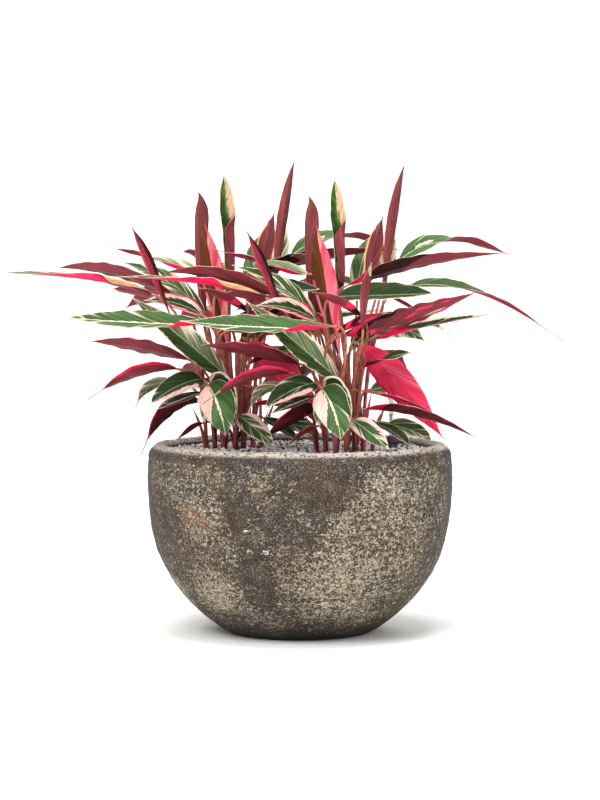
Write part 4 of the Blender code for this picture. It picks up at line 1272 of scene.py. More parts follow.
    def section(self, share: float, edges: Sequence[float]) -> list[Vector]:
        """Points across the blade at a share of its length.

        Args:
            share: Share of the midrib's length, from the stalk.
            edges: Places across the blade, from -1 to 1, in rising order.

        Returns:
            The points, with the blade's fold, curled and waved margins and midrib channel.
        """
        across, normal = self.axes(share)
        half = self.half_width(share)
        steps = self.CURLED_STEPS if self.leaf.curls else self.FLAT_STEPS
        walk = [(0.0, 0.0)]
        for step in range(steps):
            edge = -1.0 + (step + 0.5) * 2.0 / steps
            spot = (share * self.length / self.NICK_LENGTH,
                    math.copysign(self.SIDES_APART, edge), self.lot * self.LEAVES_APART)
            angle = self.bend(share, edge, half)
            ragged = 1.0 + self.NICK_DEPTH * noise.noise(Vector(spot))
            stride = 2.0 / steps * half * ragged
            walk.append((walk[-1][0] + math.cos(angle) * stride,
                         walk[-1][1] + math.sin(angle) * stride))
        centre, level = walk[steps // 2]
        if self.leaf.curls:
            centre = (min(x for x, _ in walk) + max(x for x, _ in walk)) / 2.0
        for curl in self.leaf.curls:
            flat = curl.flat(share)
            if flat < self.ROLLED and share < curl.end:
                spot = (1.0 - curl.side * (1.0 - flat) / 2.0) / 2.0
                level = walk[min(max(round(spot * steps), 0), steps)][1]
        found = []
        for edge in edges:
            spot = (edge + 1.0) / 2.0 * steps
            index = min(int(spot), steps - 1)
            part = spot - index
            x = walk[index][0] + (walk[index + 1][0] - walk[index][0]) * part - centre
            z = walk[index][1] + (walk[index + 1][1] - walk[index][1]) * part - level
            turn = share * self.length / self.WAVE_LENGTH * math.tau
            wave = math.sin(turn + self.lot * self.WAVE_APART + edge * self.WAVE_SKEW)
            wave *= (self.WAVE_HEIGHT * half * edge * edge * math.sin(math.pi * share)
                     * self.leaf.wave)
            channel = self.CHANNEL_DEPTH * math.exp(-((edge * half) / self.CHANNEL_HALF) ** 2)
            channel *= min(1.0, half / self.CHANNEL_FADE)
            found.append(self.along(share) + across * x + normal * (z + wave - channel))
        return found

    def outline(self) -> tuple[list[Vector], list[tuple[int, ...]]]:
        """Coarse corners and faces of the blade, for keeping leaves apart.

        Returns:
            The corners, and the numbers of each face's corners.
        """
        rows = self.OUTLINE_ROWS
        stations = [index / rows for index in range(rows + 1)]
        corners = [point for share in stations for point in self.section(share, (-1.0, 0.0, 1.0))]
        faces = [(row * 3 + col, row * 3 + col + 1, row * 3 + col + 4, row * 3 + col + 3)
                 for row in range(rows) for col in range(2)]
        return corners, faces

    def stalk(self, steps: int) -> list[Vector]:
        """Middle line of the stalk, from the crown to the blade.

        Args:
            steps: How many parts its curved length is drawn in.

        Returns:
            Points of the line, the last ones inside the blade's base.
        """
        heading = self.heading(0.0)
        neck = self.base - heading * self.NECK
        length = (neck - self.foot).length
        rise = self.foot + Vector((0.0, 0.0, length * self.RISE))
        arrive = neck - heading * length * self.ARRIVE
        points = []
        for step in range(steps + 1):
            share = step / steps
            rest = 1.0 - share
            points.append(self.foot * rest ** 3 + rise * 3.0 * share * rest * rest
                          + arrive * 3.0 * share * share * rest + neck * share ** 3)
        points.append(self.base + heading * 0.001)
        if self.leaf.begin:
            points.append(self.along(self.leaf.begin * 0.5))
            points.append(self.along(self.leaf.begin + 0.02))
        return points


@dataclass
class Blade:
    """Builds one blade from its form."""

    form: LeafForm
    columns: int = 12
    curled_columns: int = 26     # the same where a margin turns over
    least_rows: int = 18
    row_mm: float = 3.4          # spacing of the rows along the blade
    even_rows: float = 0.45      # how even the rows are, up to 1; else closer at both ends
    vein_drift: float = 0.3      # how far patches lean along the side veins

    def build(self, margin: Material, uppers: dict[Upper, Material],
              unders: dict[Under, Material], framed: bool) -> Object:
        """Make the blade as a thin two-faced sheet with its own margin.

        Args:
            margin: Finish of the thin edge.
            uppers: Finishes of upper faces.
            unders: Finishes of under faces.
            framed: Whether it replaces a solid of the frame.

        Returns:
            The finished piece.
        """
        form = self.form
        leaf = form.leaf
        rows = max(self.least_rows, round(form.length / (self.row_mm * MM)))
        columns = self.curled_columns if leaf.curls else self.columns
        shape = bmesh.new()
        place = shape.verts.layers.float_vector.new("blade_mm")
        shares = shape.verts.layers.float_vector.new("blade_share")
        rims = shape.verts.layers.float.new("blade_rim")
        marks = [shape.verts.layers.float_color.new(name) for name in ("under_stain",
                                                                     "upper_stain")]
        bmesh.ops.create_grid(shape, x_segments=rows, y_segments=columns, size=1.0)
        lines: dict[float, list[BMVert]] = {}
        for vert in shape.verts:
            lines.setdefault(round(vert.co.x, 5), []).append(vert)
        for station, line in lines.items():
            share = (station + 1.0) / 2.0
            share = (share * self.even_rows
                     + smoothstep(0.0, 1.0, share) * (1.0 - self.even_rows))
            share = leaf.begin + (1.0 - leaf.begin) * share
            half = form.half_width(share)
            line.sort(key=lambda vert: vert.co.y)
            edges = [vert.co.y for vert in line]
            for vert, edge, point in zip(line, edges, form.section(share, edges)):
                vert[place] = (share * form.length / MM, edge * half / MM, form.lot)
                vert[shares] = (share, edge, leaf.lean)
                vert[rims] = (1.0 - abs(edge)) * half / MM
                drift = self.vein_drift * BladeNodes.VEIN_SLOPE * abs(edge) * half
                flow = share - drift / form.length
                for mark, stains in zip(marks, (leaf.under_stains, leaf.upper_stains)):
                    vert[mark] = self.stained(stains, flow, edge, form.length, half)
                vert.co = point
        across, normal = form.axes(0.5)
        shape.normal_update()
        if form.heading(0.5).cross(across).dot(normal) < 0.0:
            bmesh.ops.reverse_faces(shape, faces=shape.faces)
        name = "%s_%s" % (form.plant.name, leaf.name)
        stands_for = ["leaf_" + name] if framed else []
        piece = set_down(shape, "blade_" + name, (uppers[leaf.upper], unders[leaf.under], margin))
        skin = piece.modifiers.new("Thickness", "SOLIDIFY")
        skin.thickness = form.BLADE_THICK
        skin.offset = 0.0
        skin.material_offset = 1
        skin.material_offset_rim = 2
        return finish_piece(piece, stands_for)

    @staticmethod
    def stained(stains: Sequence[Stain], share: float, edge: float, length: float, half: float
                ) -> tuple[float, ...]:
        """How deep inside its patches of each tint a place on a face lies.

        Args:
            stains: The face's patches.
            share: Share of the blade's length.
            edge: Place across the blade, from -1 to 1.
            length: The blade's length in metres.
            half: Half of its width there.

        Returns:
            For each of four tints, 0.5 on a patch's border and 1 deep inside it.
        """
        weights = [0.0, 0.0, 0.0, 0.0]
        for stain in stains:
            along = share + stain.slant * edge
            depth = min(along - stain.begin, stain.end - along) * length
            if stain.low > -1.0:
                depth = min(depth, (edge - stain.low) * half)
            if stain.high < 1.0:
                depth = min(depth, (stain.high - edge) * half)
            inside = min(max(0.5 + depth / STAIN_SOFT, 0.0), 1.0)
            weights[stain.tint] = max(weights[stain.tint], inside)
        return tuple(weights)


class Clearing:
    """Keeps the added leaves clear of the blades and stalks that are already set."""

    STALK_HALF = 0.002           # half of a stalk's thickness
    BASE_PUSHES = (0, 7, -7, 14, -14, 21, -21)      # in millimetres, as are the next two
    TIP_PUSHES = range(-56, 57, 8)
    RAISES = (0, 5, -5, 10)

    def __init__(self) -> None:
        """Start with nothing set."""
        self.trees: list[BVHTree] = []

    def ribbon(self, line: Sequence[Vector]) -> BVHTree:
        """Search tree of a crossed pair of ribbons along a stalk.

        Args:
            line: The stalk's middle line.

        Returns:
            The search tree.
        """
        ways = [Vector(way) * self.STALK_HALF for way in ((1, 0, 0), (-1, 0, 0), (0, 1, 0),
                                                          (0, -1, 0))]
        corners = [point + way for point in line for way in ways]
        faces = [(start, start + 1, start + 5, start + 4)
                 for row in range(len(line) - 1) for start in (row * 4, row * 4 + 2)]
        return BVHTree.FromPolygons(corners, faces)

    def add(self, form: LeafForm) -> None:
        """Count a leaf as set."""
        self.trees.append(BVHTree.FromPolygons(*form.outline()))
        self.trees.append(self.ribbon(form.stalk(6)))

    def place(self, plant: Plant, leaf: Leaf) -> LeafForm:
        """Find the nearest clear place for an added leaf.

        Args:
            plant: The plant it grows on.
            leaf: Its shape.

        Returns:
            The leaf, set where it meets nothing, or in its drawn place if there is no such spot.
        """
        steps = [(base, tip, raised) for base in self.BASE_PUSHES for tip in self.TIP_PUSHES
                 for raised in self.RAISES]
        steps.sort(key=lambda step: abs(step[0]) * 2 + abs(step[1]) + abs(step[2]) * 5)
        for base, tip, raised in steps:
            form = LeafForm(plant, leaf, base * MM, tip * MM, raised * MM)
            tree = BVHTree.FromPolygons(*form.outline())
            if not any(tree.overlap(other) for other in self.trees):
                break
        else:
            log.warning("no clear place for %s on the %s plant", leaf.name, plant.name)
            form = LeafForm(plant, leaf, 0.0, 0.0, 0.0)
        self.add(form)
        return form


SOLID_RAISES = (0, 5, -5, 10, 16)    # how much higher a solid can stand, in millimetres
NEAR_POINTS = 6                      # of a solid, whose middle stands for its end


def framed_form(plant: Plant, leaf: Leaf) -> LeafForm:
    """Set a leaf where its solid stands in the frame.

    The solids are pushed backwards or forwards, or raised a little, to keep clear of each other.
    The points of the solid nearest the drawn base and tip, as seen from the front, tell how far.

    Args:
        plant: The plant it grows on.
        leaf: Its shape.

    Returns:
        The leaf in the solid's place.
    """
    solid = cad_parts["leaf_%s_%s" % (plant.name, leaf.name)]
    points = [vert.co.copy() for vert in solid.data.vertices]
    tries = []
    for raised in SOLID_RAISES:
        drawn = LeafForm(plant, leaf, 0.0, 0.0, raised * MM)
        pushes = []
        miss = 0.0
        for target in (drawn.base, drawn.tip):
            near = sorted(points, key=lambda point: math.hypot(point.x - target.x,
                                                               point.z - target.z))
            near = near[:NEAR_POINTS]
            centre = sum(near, Vector()) / len(near)
            miss += math.hypot(centre.x - target.x, centre.z - target.z)
            pushes.append(centre.y - target.y)
        tries.append((miss, *pushes, raised * MM))
    return LeafForm(plant, leaf, *min(tries, key=lambda attempt: attempt[0])[1:])


# ---------------------------------------------------------------- stems


class Stem(NamedTuple):
    """One round stem: its middle line and radii, its lot among the stem colours, from 0 to 1,
    and how far up those colours its foot and its top stand, from 0 to 1."""

    line: list[Vector]
    radii: list[float]
    lot: float
    low: float
    high: float


@dataclass
class StemClump:
    """The crown, canes, sheaths and leaf stalks of one plant."""

    plant: Plant
    canes: tuple = (
        ((-33, -6, 0), (-52, -12, 92), 3.6),
        ((-25, 9, 0), (-38, 16, 128), 3.4),
        ((-21, -13, 0), (-26, -22, 84), 3.2),
        ((-13, 2, 0), (-18, 6, 146), 3.9),
        ((-6, -14, 0), (-4, -26, 110), 3.7),
        ((-1, 10, 0), (-3, 20, 156), 3.5),
        ((6, -4, 0), (9, -8, 138), 4.1),
        ((13, 12, 0), (20, 24, 118), 3.3),
        ((15, -13, 0), (22, -22, 102), 3.5),
        ((22, 2, 0), (34, 4, 132), 3.7),
        ((29, -8, 0), (44, -14, 90), 3.2),
        ((33, 5, 0), (54, 10, 112), 3.4),
    )
    bunches: tuple = (-34.0, -23.5, -12.0, 2.0, 12.0, 23.0, 33.0)   # where the feet gather
    gather: float = 0.85         # how near to their bunch they come
    sides: int = 10
    slim: float = 0.68           # share of its drawn radius that a cane has
    cut: float = 0.66            # share of its drawn height at which its leaf stalks leave a cane
    cane_steps: int = 18
    cane_foot: float = 2.0       # height of its foot over the crown's floor, in millimetres
    cane_bow: float = 0.10       # how far it bows, as a share of its foot's way out
    cane_taper: float = 0.25     # how much thinner it is at its top
    cane_ending: tuple = (0.60, 0.85)    # share from which it comes to a point, and how much
    cane_point: float = 0.0006   # radius of its top
    sheaths: float = 3.0         # swellings along it
    knots: tuple = (0.05, 0.6)   # how far they stand out, and how far they stray
    cane_lots: float = 0.75      # share of the stem colours that canes take
    cane_high: float = 0.55      # how far up those colours its top stands
    stalk_steps: int = 12
    stalk_radii: tuple = (0.0024, 0.0010, 0.0005)   # at the foot, how much less at the blade, swell
    stalk_swell: tuple = (0.90, 0.05)    # where on the stalk the swelling sits, and how long it is
    stalk_low: float = 0.1       # how far up the stem colours its foot stands
    loosens: tuple = (0.10, 0.60)        # shares between which a stalk leaves its bunch

    # least share of that thickness, what a blade's width adds to it, a usual width in
    # millimetres, and how many times that width still adds
    slightness: tuple = (0.8, 0.2, 34.0, 1.2)

    crown_height: float = 0.0105
    crown_share: float = 0.92    # share of the crown's size that it fills before its lumps
    crown_lump: float = 0.08     # how far its lumps stand out
    crown_lot: float = 0.12      # which of the stem colours the crown takes

    @staticmethod
    def ring_edges(ring: Sequence[BMVert]) -> list[BMEdge]:
        """The edges between a ring's own corners."""
        edges = dict.fromkeys(edge for vert in ring for edge in vert.link_edges)
        return [edge for edge in edges if edge.verts[0] in ring and edge.verts[1] in ring]

    def tube(self, stem: Stem) -> BMesh:
        """Draw a round stem along its line.

        Args:
            stem: The stem.

        Returns:
            Its shape, with both ends closed.
        """
        shape = bmesh.new()
        mark = shape.verts.layers.float_vector.new("stem_mark")
        ring = bmesh.ops.create_circle(shape, cap_ends=True, segments=self.sides,
                                       radius=1.0)["verts"]
        drawn = [vert.co.copy() for vert in ring]
        last = len(stem.line) - 1
        for index, (point, radius) in enumerate(zip(stem.line, stem.radii)):
            if index:
                out = bmesh.ops.extrude_edge_only(shape, edges=self.ring_edges(ring))
                order = {tuple(round(c, 7) for c in vert.co): vert for vert in verts_of(out)}
                ring = [order[tuple(round(c, 7) for c in vert.co)] for vert in ring]
            way = stem.line[min(index + 1, last)] - stem.line[max(index - 1, 0)]
            turn = UP.rotation_difference(way.normalized())
            rise = stem.low + (stem.high - stem.low) * (index / last)
            for corner, (vert, flat) in enumerate(zip(ring, drawn)):
                vert.co = point + turn @ (flat * radius)
                vert[mark] = (rise, stem.lot, corner / self.sides)
        bmesh.ops.contextual_create(shape, geom=self.ring_edges(ring))
        bmesh.ops.recalc_face_normals(shape, faces=shape.faces)
        return shape

    def cane_stems(self) -> list[Stem]:
        """The sheathed canes, bowed and knobbly, thinning towards their tops.

        Returns:
            The canes.
        """
        draw = random.Random("canes " + self.plant.name)
        origin = Vector((self.plant.x, self.plant.y, CROWN_FLOOR))
        stands_out, strays = self.knots
        pointed, drop = self.cane_ending
        stems = []
        for foot, top, radius in self.canes:
            start = origin + Vector((foot[0], foot[1], self.cane_foot)) * MM * self.plant.size
            top = Vector((top[0], top[1], top[2] * self.cut))
            end = origin + top * MM * self.plant.size
            start.x += self.gathering(start.x)
            line = []
            radii = []
            for step in range(self.cane_steps + 1):
                share = step / self.cane_steps
                bow = Vector((-foot[0], -foot[1], 0.0)) * self.cane_bow * MM
                line.append(start.lerp(end, share) + bow * math.sin(math.pi * share))
                knot = 1.0 + stands_out * math.cos(share * math.tau * self.sheaths
                                                   + draw.random() * strays)
                radii.append(radius * self.slim * MM * (1.0 - self.cane_taper * share) * knot
                             * (1.0 - smoothstep(pointed, 1.0, share) * drop))
            radii[-1] = self.cane_point
            stems.append(Stem(line, radii, draw.random() * self.cane_lots, 0.0, self.cane_high))
        return stems

    def stalk_stems(self, forms: Sequence[LeafForm]) -> list[Stem]:
        """The leaves' stalks, which thin upwards and swell a little below the blade.

        Args:
            forms: The plant's leaves.

        Returns:
            The stalks.
        """
        thick, less, swell = self.stalk_radii
        place, breadth = self.stalk_swell
        least, more, usual, most = self.slightness
        stems = []
        for form in forms:
            line = form.stalk(self.stalk_steps)
            aside = self.gathering(line[0].x)
            for step, point in enumerate(line):
                point.x += aside * (1.0 - smoothstep(*self.loosens, step / self.stalk_steps))
            thin = least + more * min(form.leaf.width / usual, most)
            shares = [step / (len(line) - 1) for step in range(len(line))]
            radii = [(thick - less * share
                      + swell * math.exp(-((share - place) / breadth) ** 2)) * thin
                     for share in shares]
            stems.append(Stem(line, radii, form.lot, self.stalk_low, 1.0))
        return stems

    def build(self, forms: Sequence[LeafForm], skin: Material) -> Object:
        """Make the clump.

        Args:
            forms: The plant's leaves.
            skin: The stems' finish.

        Returns:
            The finished piece.
        """
        work = bpy.data.meshes.new("clump_work")
        shape = bmesh.new()
        shape.verts.layers.float_vector.new("stem_mark")
        for stem in self.cane_stems() + self.stalk_stems(forms):
            part = self.tube(stem)
            part.to_mesh(work)
            part.free()
            shape.from_mesh(work)
        bpy.data.meshes.remove(work)
        self.crown(shape)
        return finish_piece(set_down(shape, "stems_" + self.plant.name, (skin,)),
                            ("stem_clump_" + self.plant.name,))

    def gathering(self, x: float) -> float:
        """Sideways step that brings a stem's foot near its bunch, which leaves gaps between."""
        centres = [self.plant.x + spot * MM * self.plant.size for spot in self.bunches]
        return (min(centres, key=lambda centre: abs(centre - x)) - x) * self.gather

    def crown(self, shape: BMesh) -> None:
        """Add the low knobbly crown the stems rise from.

        Args:
            shape: The clump's shape, which it is added to.
        """
        mark = shape.verts.layers.float_vector["stem_mark"]
        made = bmesh.ops.create_uvsphere(shape, u_segments=40, v_segments=16, radius=1.0)
        plant = self.plant
        for vert in made["verts"]:
            vert[mark] = (0.0, self.crown_lot, 0.0)
            lump = 1.0 + self.crown_lump * noise.noise(vert.co * 4.0
                                                       + Vector((plant.x * 50, 0, 0)))
            x = vert.co.x * CROWN_LENGTH * self.crown_share * plant.size * lump
            y = vert.co.y * CROWN_DEPTH * self.crown_share * plant.size * lump
            z = max(vert.co.z, 0.0) * self.crown_height
            vert.co = Vector((plant.x + x, plant.y + y, CROWN_FLOOR + z))


# ---------------------------------------------------------------- bowl, fill and gauge


@dataclass
class Bowl:
    """The round bowl with its thick worn lip."""

    turns: int = 440             # facets round the axis
    spacing: float = 0.0026      # between the points of the profile
    outside: tuple = (
        (0.1650, 0.2300), (0.1705, 0.2320), (0.1765, 0.2303), (0.1815, 0.2258),
        (0.1845, 0.2190), (0.1862, 0.2080), (0.1870, 0.1830), (0.1850, 0.1490),
        (0.1778, 0.1096), (0.1668, 0.0815), (0.1479, 0.0515), (0.1250, 0.0273),
        (0.1045, 0.0108), (0.0935, 0.0036), (0.0850, 0.0),
    )
    wall: tuple = (
        (0.0, 0.0220), (0.0850, 0.0290), (0.1290, 0.0500), (0.1520, 0.0900), (0.1595, 0.1400),
        (0.1615, 0.2030), (0.1610, 0.2250), (0.1650, 0.2300),
    )

    # patches of the glaze: turn from the front to the right in degrees, height in metres, half
    # sizes in degrees and metres, and how much; crust above 0 is thick, below 0 worn away
    crust: tuple = (
        (-40, 0.064, 13, 0.024, 0.11), (16, 0.078, 17, 0.044, 0.06), (36, 0.125, 22, 0.050, 0.04),
        (-50, 0.185, 20, 0.030, 0.03), (9, 0.195, 11, 0.026, -0.10), (-24, 0.165, 5, 0.036, -0.10),
        (-17, 0.082, 8, 0.036, -0.11), (-6, 0.150, 12, 0.040, -0.03), (30, 0.185, 12, 0.020, 0.05),
        # the two thin patches at -86 and 86 degrees are painted shade, darkening the bowl's left and
        # right sides as seen from the front
        (-86, 0.150, 12, 0.080, -0.13), (86, 0.150, 12, 0.080, -0.13), (62, 0.170, 14, 0.040, 0.01),
        (-62, 0.120, 12, 0.070, -0.08), (64, 0.100, 14, 0.060, -0.07),
        (95, 0.090, 20, 0.040, 0.12), (112, 0.185, 16, 0.030, -0.10), (140, 0.120, 18, 0.05, 0.08),
        (165, 0.060, 15, 0.024, 0.14), (178, 0.175, 12, 0.034, -0.09), (-150, 0.130, 20, 0.05, 0.07),
        (-118, 0.080, 16, 0.036, -0.10), (-95, 0.150, 18, 0.050, 0.06), (-76, 0.060, 12, 0.02, 0.12),
    )
    rust: tuple = (
        (-44, 0.157, 7, 0.013, 1.0), (-37, 0.143, 3, 0.011, 0.9), (3.4, 0.183, 0.9, 0.003, 1.0),
        (52, 0.118, 2, 0.005, 0.6), (128, 0.148, 8, 0.014, 0.9), (-160, 0.075, 7, 0.012, 0.8),
    )
    gold: tuple = ((-13, 0.175, 11, 0.045, 1.0), (-10, 0.115, 9, 0.03, 0.6),
                   (150, 0.170, 14, 0.040, 0.9), (-110, 0.190, 12, 0.030, 0.8))
    chips: tuple = (
        (-19.5, 0.141, 1.6, 0.004, 0.82), (-12.8, 0.116, 2.4, 0.005, 0.78),
        (-19.5, 0.118, 1.8, 0.003, 0.74), (-9, 0.050, 1.8, 0.004, 0.72),
        (100, 0.135, 2.4, 0.005, 0.80), (-172, 0.110, 2.4, 0.005, 0.80),
    )

    # runs of glaze that stand proud of the shoulder: place, size and height in metres
    lumps: tuple = (
        ((0.1855, -0.012, 0.2215), 0.0060, 0.0016), ((-0.1850, -0.010, 0.2200), 0.0070, 0.0014),
        ((0.1500, 0.110, 0.2220), 0.0060, 0.0014), ((-0.0600, 0.176, 0.2230), 0.0070, 0.0014),
    )

    # how much and how large: noises of the crust, and noises and pits of the surface in metres
    crust_noises: tuple = ((0.055, 0.055), (0.050, 0.022))
    bumps: tuple = ((0.0011, 0.045), (0.00055, 0.012), (0.00050, 0.0052))
    pits: tuple = (0.0009, 0.0078, 0.25)         # and how strong the noise is where a pit begins
    mean_cover: float = 0.475
    lip_wear: tuple = (0.10, 0.2120, 0.2215)     # how much, and between which heights it sets in
    throwing_lines: tuple = (0.022, 0.0085)      # how much, and height from one to the next
    throwing_drift: tuple = (2.0, 0.05)          # how far they wander, and over what length
    dents: int = 26
    lip_dents: tuple = (0.2305, 0.228)           # heights of the dents on the lip
    wall_dents: tuple = (0.04, 0.21)             # lowest and highest dent on the wall
    lip_radius: float = 0.177
    wall_radius: float = 0.186
    dent_sizes: tuple = (0.003, 0.008)
    dent_depths: tuple = (0.0004, 0.0014)
    rough_heights: tuple = (0.002, 0.02)         # between which the roughness sets in
    smooth_inside: tuple = (0.1605, 0.218)       # radius and height that the smooth inside ends at

    def build(self, glaze: Material) -> Object:
        """Make the bowl: one smooth profile, spun, then roughened.

        Args:
            glaze: The bowl's finish.

        Returns:
            The finished piece.
        """
        inner = list(self.wall[:-2]) + through(self.wall[-2:], self.spacing)[:-1]
        outer = through(self.outside, self.spacing) + [(0.045, 0.0), (0.0, 0.0)]
        shape = spin_profile(inner + outer, self.turns)
        self.roughen(shape)
        self.glaze(shape)
        return finish_piece(set_down(shape, "bowl", (glaze,)), ("planter_bowl",))

    @staticmethod
    def patches(table: Sequence[tuple], turn: float, height: float) -> float:
        """Sum of the soft patches of a table at a place on the bowl.

        Args:
            table: The patches.
            turn: Turn from the front to the right, in degrees.
            height: Height of the place.

        Returns:
            How much of the patches' kind there is.
        """
        total = 0.0
        for middle, level, wide, tall, amount in table:
            over = ((turn - middle + 180.0) % 360.0 - 180.0) / wide
            rise = (height - level) / tall
            far = over * over + rise * rise
            if far < 4.0:        # nothing of a patch is left at twice its half sizes
                total += amount * math.exp(-far * far * 0.7)
        return total

    def glaze(self, shape: BMesh) -> None:
        """Note at each point how thick the crust is, and how rusty, golden and chipped.

        Args:
            shape: The bowl's shape.
        """
        fields = shape.verts.layers.float_color.new("glaze_fields")
        wear, wear_low, wear_high = self.lip_wear
        lines, apart = self.throwing_lines
        drift, breadth = self.throwing_drift
        for vert in shape.verts:
            spot = vert.co
            turn = math.degrees(math.atan2(spot.x, -spot.y))
            cover = sum((much * noise.noise(spot / size) for much, size in self.crust_noises),
                        self.mean_cover)
            cover += self.patches(self.crust, turn, spot.z)
            cover -= wear * smoothstep(wear_low, wear_high, spot.z)
            cover += lines * math.sin(spot.z / apart * math.tau
                                      + drift * noise.noise(spot / breadth))
            vert[fields] = (cover, *(self.patches(table, turn, spot.z)
                                     for table in (self.rust, self.gold, self.chips)))

    def roughen(self, shape: BMesh) -> None:
        """Give the outside its lumps, pits and chipped lip.

        Args:
            shape: The bowl's shape.
        """
        draw = random.Random("bowl")
        dents = []
        for _ in range(self.dents):
            turn = draw.random() * math.tau
            high = draw.choice((*self.lip_dents, draw.uniform(*self.wall_dents)))
            radius = self.lip_radius if high in self.lip_dents else self.wall_radius
            dents.append((Vector((math.cos(turn) * radius, math.sin(turn) * radius, high)),
                          draw.uniform(*self.dent_sizes), draw.uniform(*self.dent_depths)))
        dents += [(Vector(spot), size, -swell) for spot, size, swell in self.lumps]
        foot, full = self.rough_heights
        inner, fill = self.smooth_inside
        for vert in shape.verts:
            spot = vert.co.copy()
            flat = math.hypot(spot.x, spot.y)
            if spot.z < foot or (flat < inner and spot.z < fill):
                continue
            fade = smoothstep(foot, full, spot.z)
            push = sum(much * noise.noise(spot / size) for much, size in self.bumps)
            much, size, least = self.pits
            push -= much * max(0.0, noise.noise(spot / size + Vector((9, 9, 9))) - least)
            for centre, size, depth in dents:
                gap = (spot - centre).length
                if gap < size * 2.0:
                    push -= depth * math.exp(-(gap / size) ** 2 * 2.0)
            vert.co = spot + vert.normal * push * fade


@dataclass
class Granules:
    """Loose mineral grains over the soil, inside the lip and round the crowns."""

    radius: float = 0.1600
    bed: float = 0.006           # thickness of the bed they lie on
    pitch: float = 0.0045        # mean distance between grains
    turns: int = 96
    batch: int = 90              # grains shaped at a time, which is quicker
    bed_drop: float = 0.0022     # how far the bed lies below the granules' top
    grain_drop: float = 0.0016   # and how far the grains' middles lie below it
    strewn: tuple = (-0.0006, 0.0010)            # lowest and highest grain about that height
    swells: tuple = (0.0012, 0.03)               # height and breadth of the layer's swells
    jitter: float = 0.45         # how far a grain lies off its grid, as a share of the pitch
    rim_gap: float = 0.002
    crown_share: float = 0.86    # share of a crown that stays free of grains
    gauge_gap: float = 0.0092    # radius round the gauge that stays free
    sizes: tuple = (0.0014, 0.0030)
    squash: tuple = ((0.75, 1.25), (0.75, 1.2), (0.6, 0.95))    # least and most, each way
    knobs: float = 0.16          # how far a grain's corners stand in or out
    lots: tuple = (0.12, 1.0)    # range of the stone colours

    def build(self, grit: Material) -> Object:
        """Make the bed and strew the grains on it.

        Args:
            grit: The grains' finish.

        Returns:
            The finished piece.
        """
        shape = bmesh.new()
        lots = shape.verts.layers.float.new("grain_lot")
        made = bmesh.ops.create_circle(shape, cap_ends=True, segments=self.turns,
                                       radius=self.radius)
        bmesh.ops.translate(shape, verts=made["verts"],
                            vec=(0.0, 0.0, GRANULE_TOP - self.bed_drop))
        low = bmesh.ops.extrude_face_region(shape, geom=shape.faces[:])
        bmesh.ops.translate(shape, verts=verts_of(low), vec=(0.0, 0.0, -self.bed))
        bmesh.ops.recalc_face_normals(shape, faces=shape.faces)
        for vert in shape.verts:
            vert[lots] = 0.0
        draw = random.Random("grains")
        work = bpy.data.meshes.new("grains_work")
        spots = self.spots(draw)
        for start in range(0, len(spots), self.batch):
            part = bmesh.new()
            layer = part.verts.layers.float.new("grain_lot")
            for spot, size in spots[start:start + self.batch]:
                turn = Matrix.Rotation(draw.random() * math.tau, 4, Vector((
                    draw.uniform(-1, 1), draw.uniform(-1, 1), draw.uniform(0.1, 1))).normalized())
                squash = Matrix.Diagonal([draw.uniform(*way) for way in self.squash] + [1.0])
                place = Matrix.Translation(spot) @ turn @ squash
                grain = bmesh.ops.create_icosphere(part, subdivisions=1, radius=size,
                                                   matrix=place)
                lot = draw.uniform(*self.lots)
                for vert in grain["verts"]:
                    vert[layer] = lot
                    vert.co += (vert.co - spot) * draw.uniform(-self.knobs, self.knobs)
            part.to_mesh(work)
            part.free()
            shape.from_mesh(work)
        bpy.data.meshes.remove(work)
        return finish_piece(set_down(shape, "granules", (grit,), smooth=False),
                            ("top_granules",))

    def spots(self, draw: random.Random) -> list[tuple[Vector, float]]:
        """Where each grain lies and how big it is.

        Args:
            draw: Source of the random numbers.

        Returns:
            Middle and radius of each grain.
        """
        found = []
        jitter = self.jitter
        high, breadth = self.swells
        steps = int(self.radius / self.pitch) + 1
        for column in range(-steps, steps + 1):
            for row in range(-steps, steps + 1):
                x = (column + draw.uniform(-jitter, jitter)) * self.pitch
                y = (row + draw.uniform(-jitter, jitter)) * self.pitch
                if math.hypot(x, y) > self.radius - self.rim_gap:
                    continue
                if any(math.hypot((x - plant.x) / CROWN_LENGTH, (y - plant.y) / CROWN_DEPTH)
                       < self.crown_share for plant in PLANTS):
                    continue
                if math.hypot(x - GAUGE_SPOT[0], y - GAUGE_SPOT[1]) < self.gauge_gap:
                    continue
                size = draw.uniform(*self.sizes)
                swell = high * noise.noise(Vector((x, y, 0.0)) / breadth)
                found.append((Vector((x, y, GRANULE_TOP - self.grain_drop + swell
                                      + draw.uniform(*self.strewn))), size))
        return found


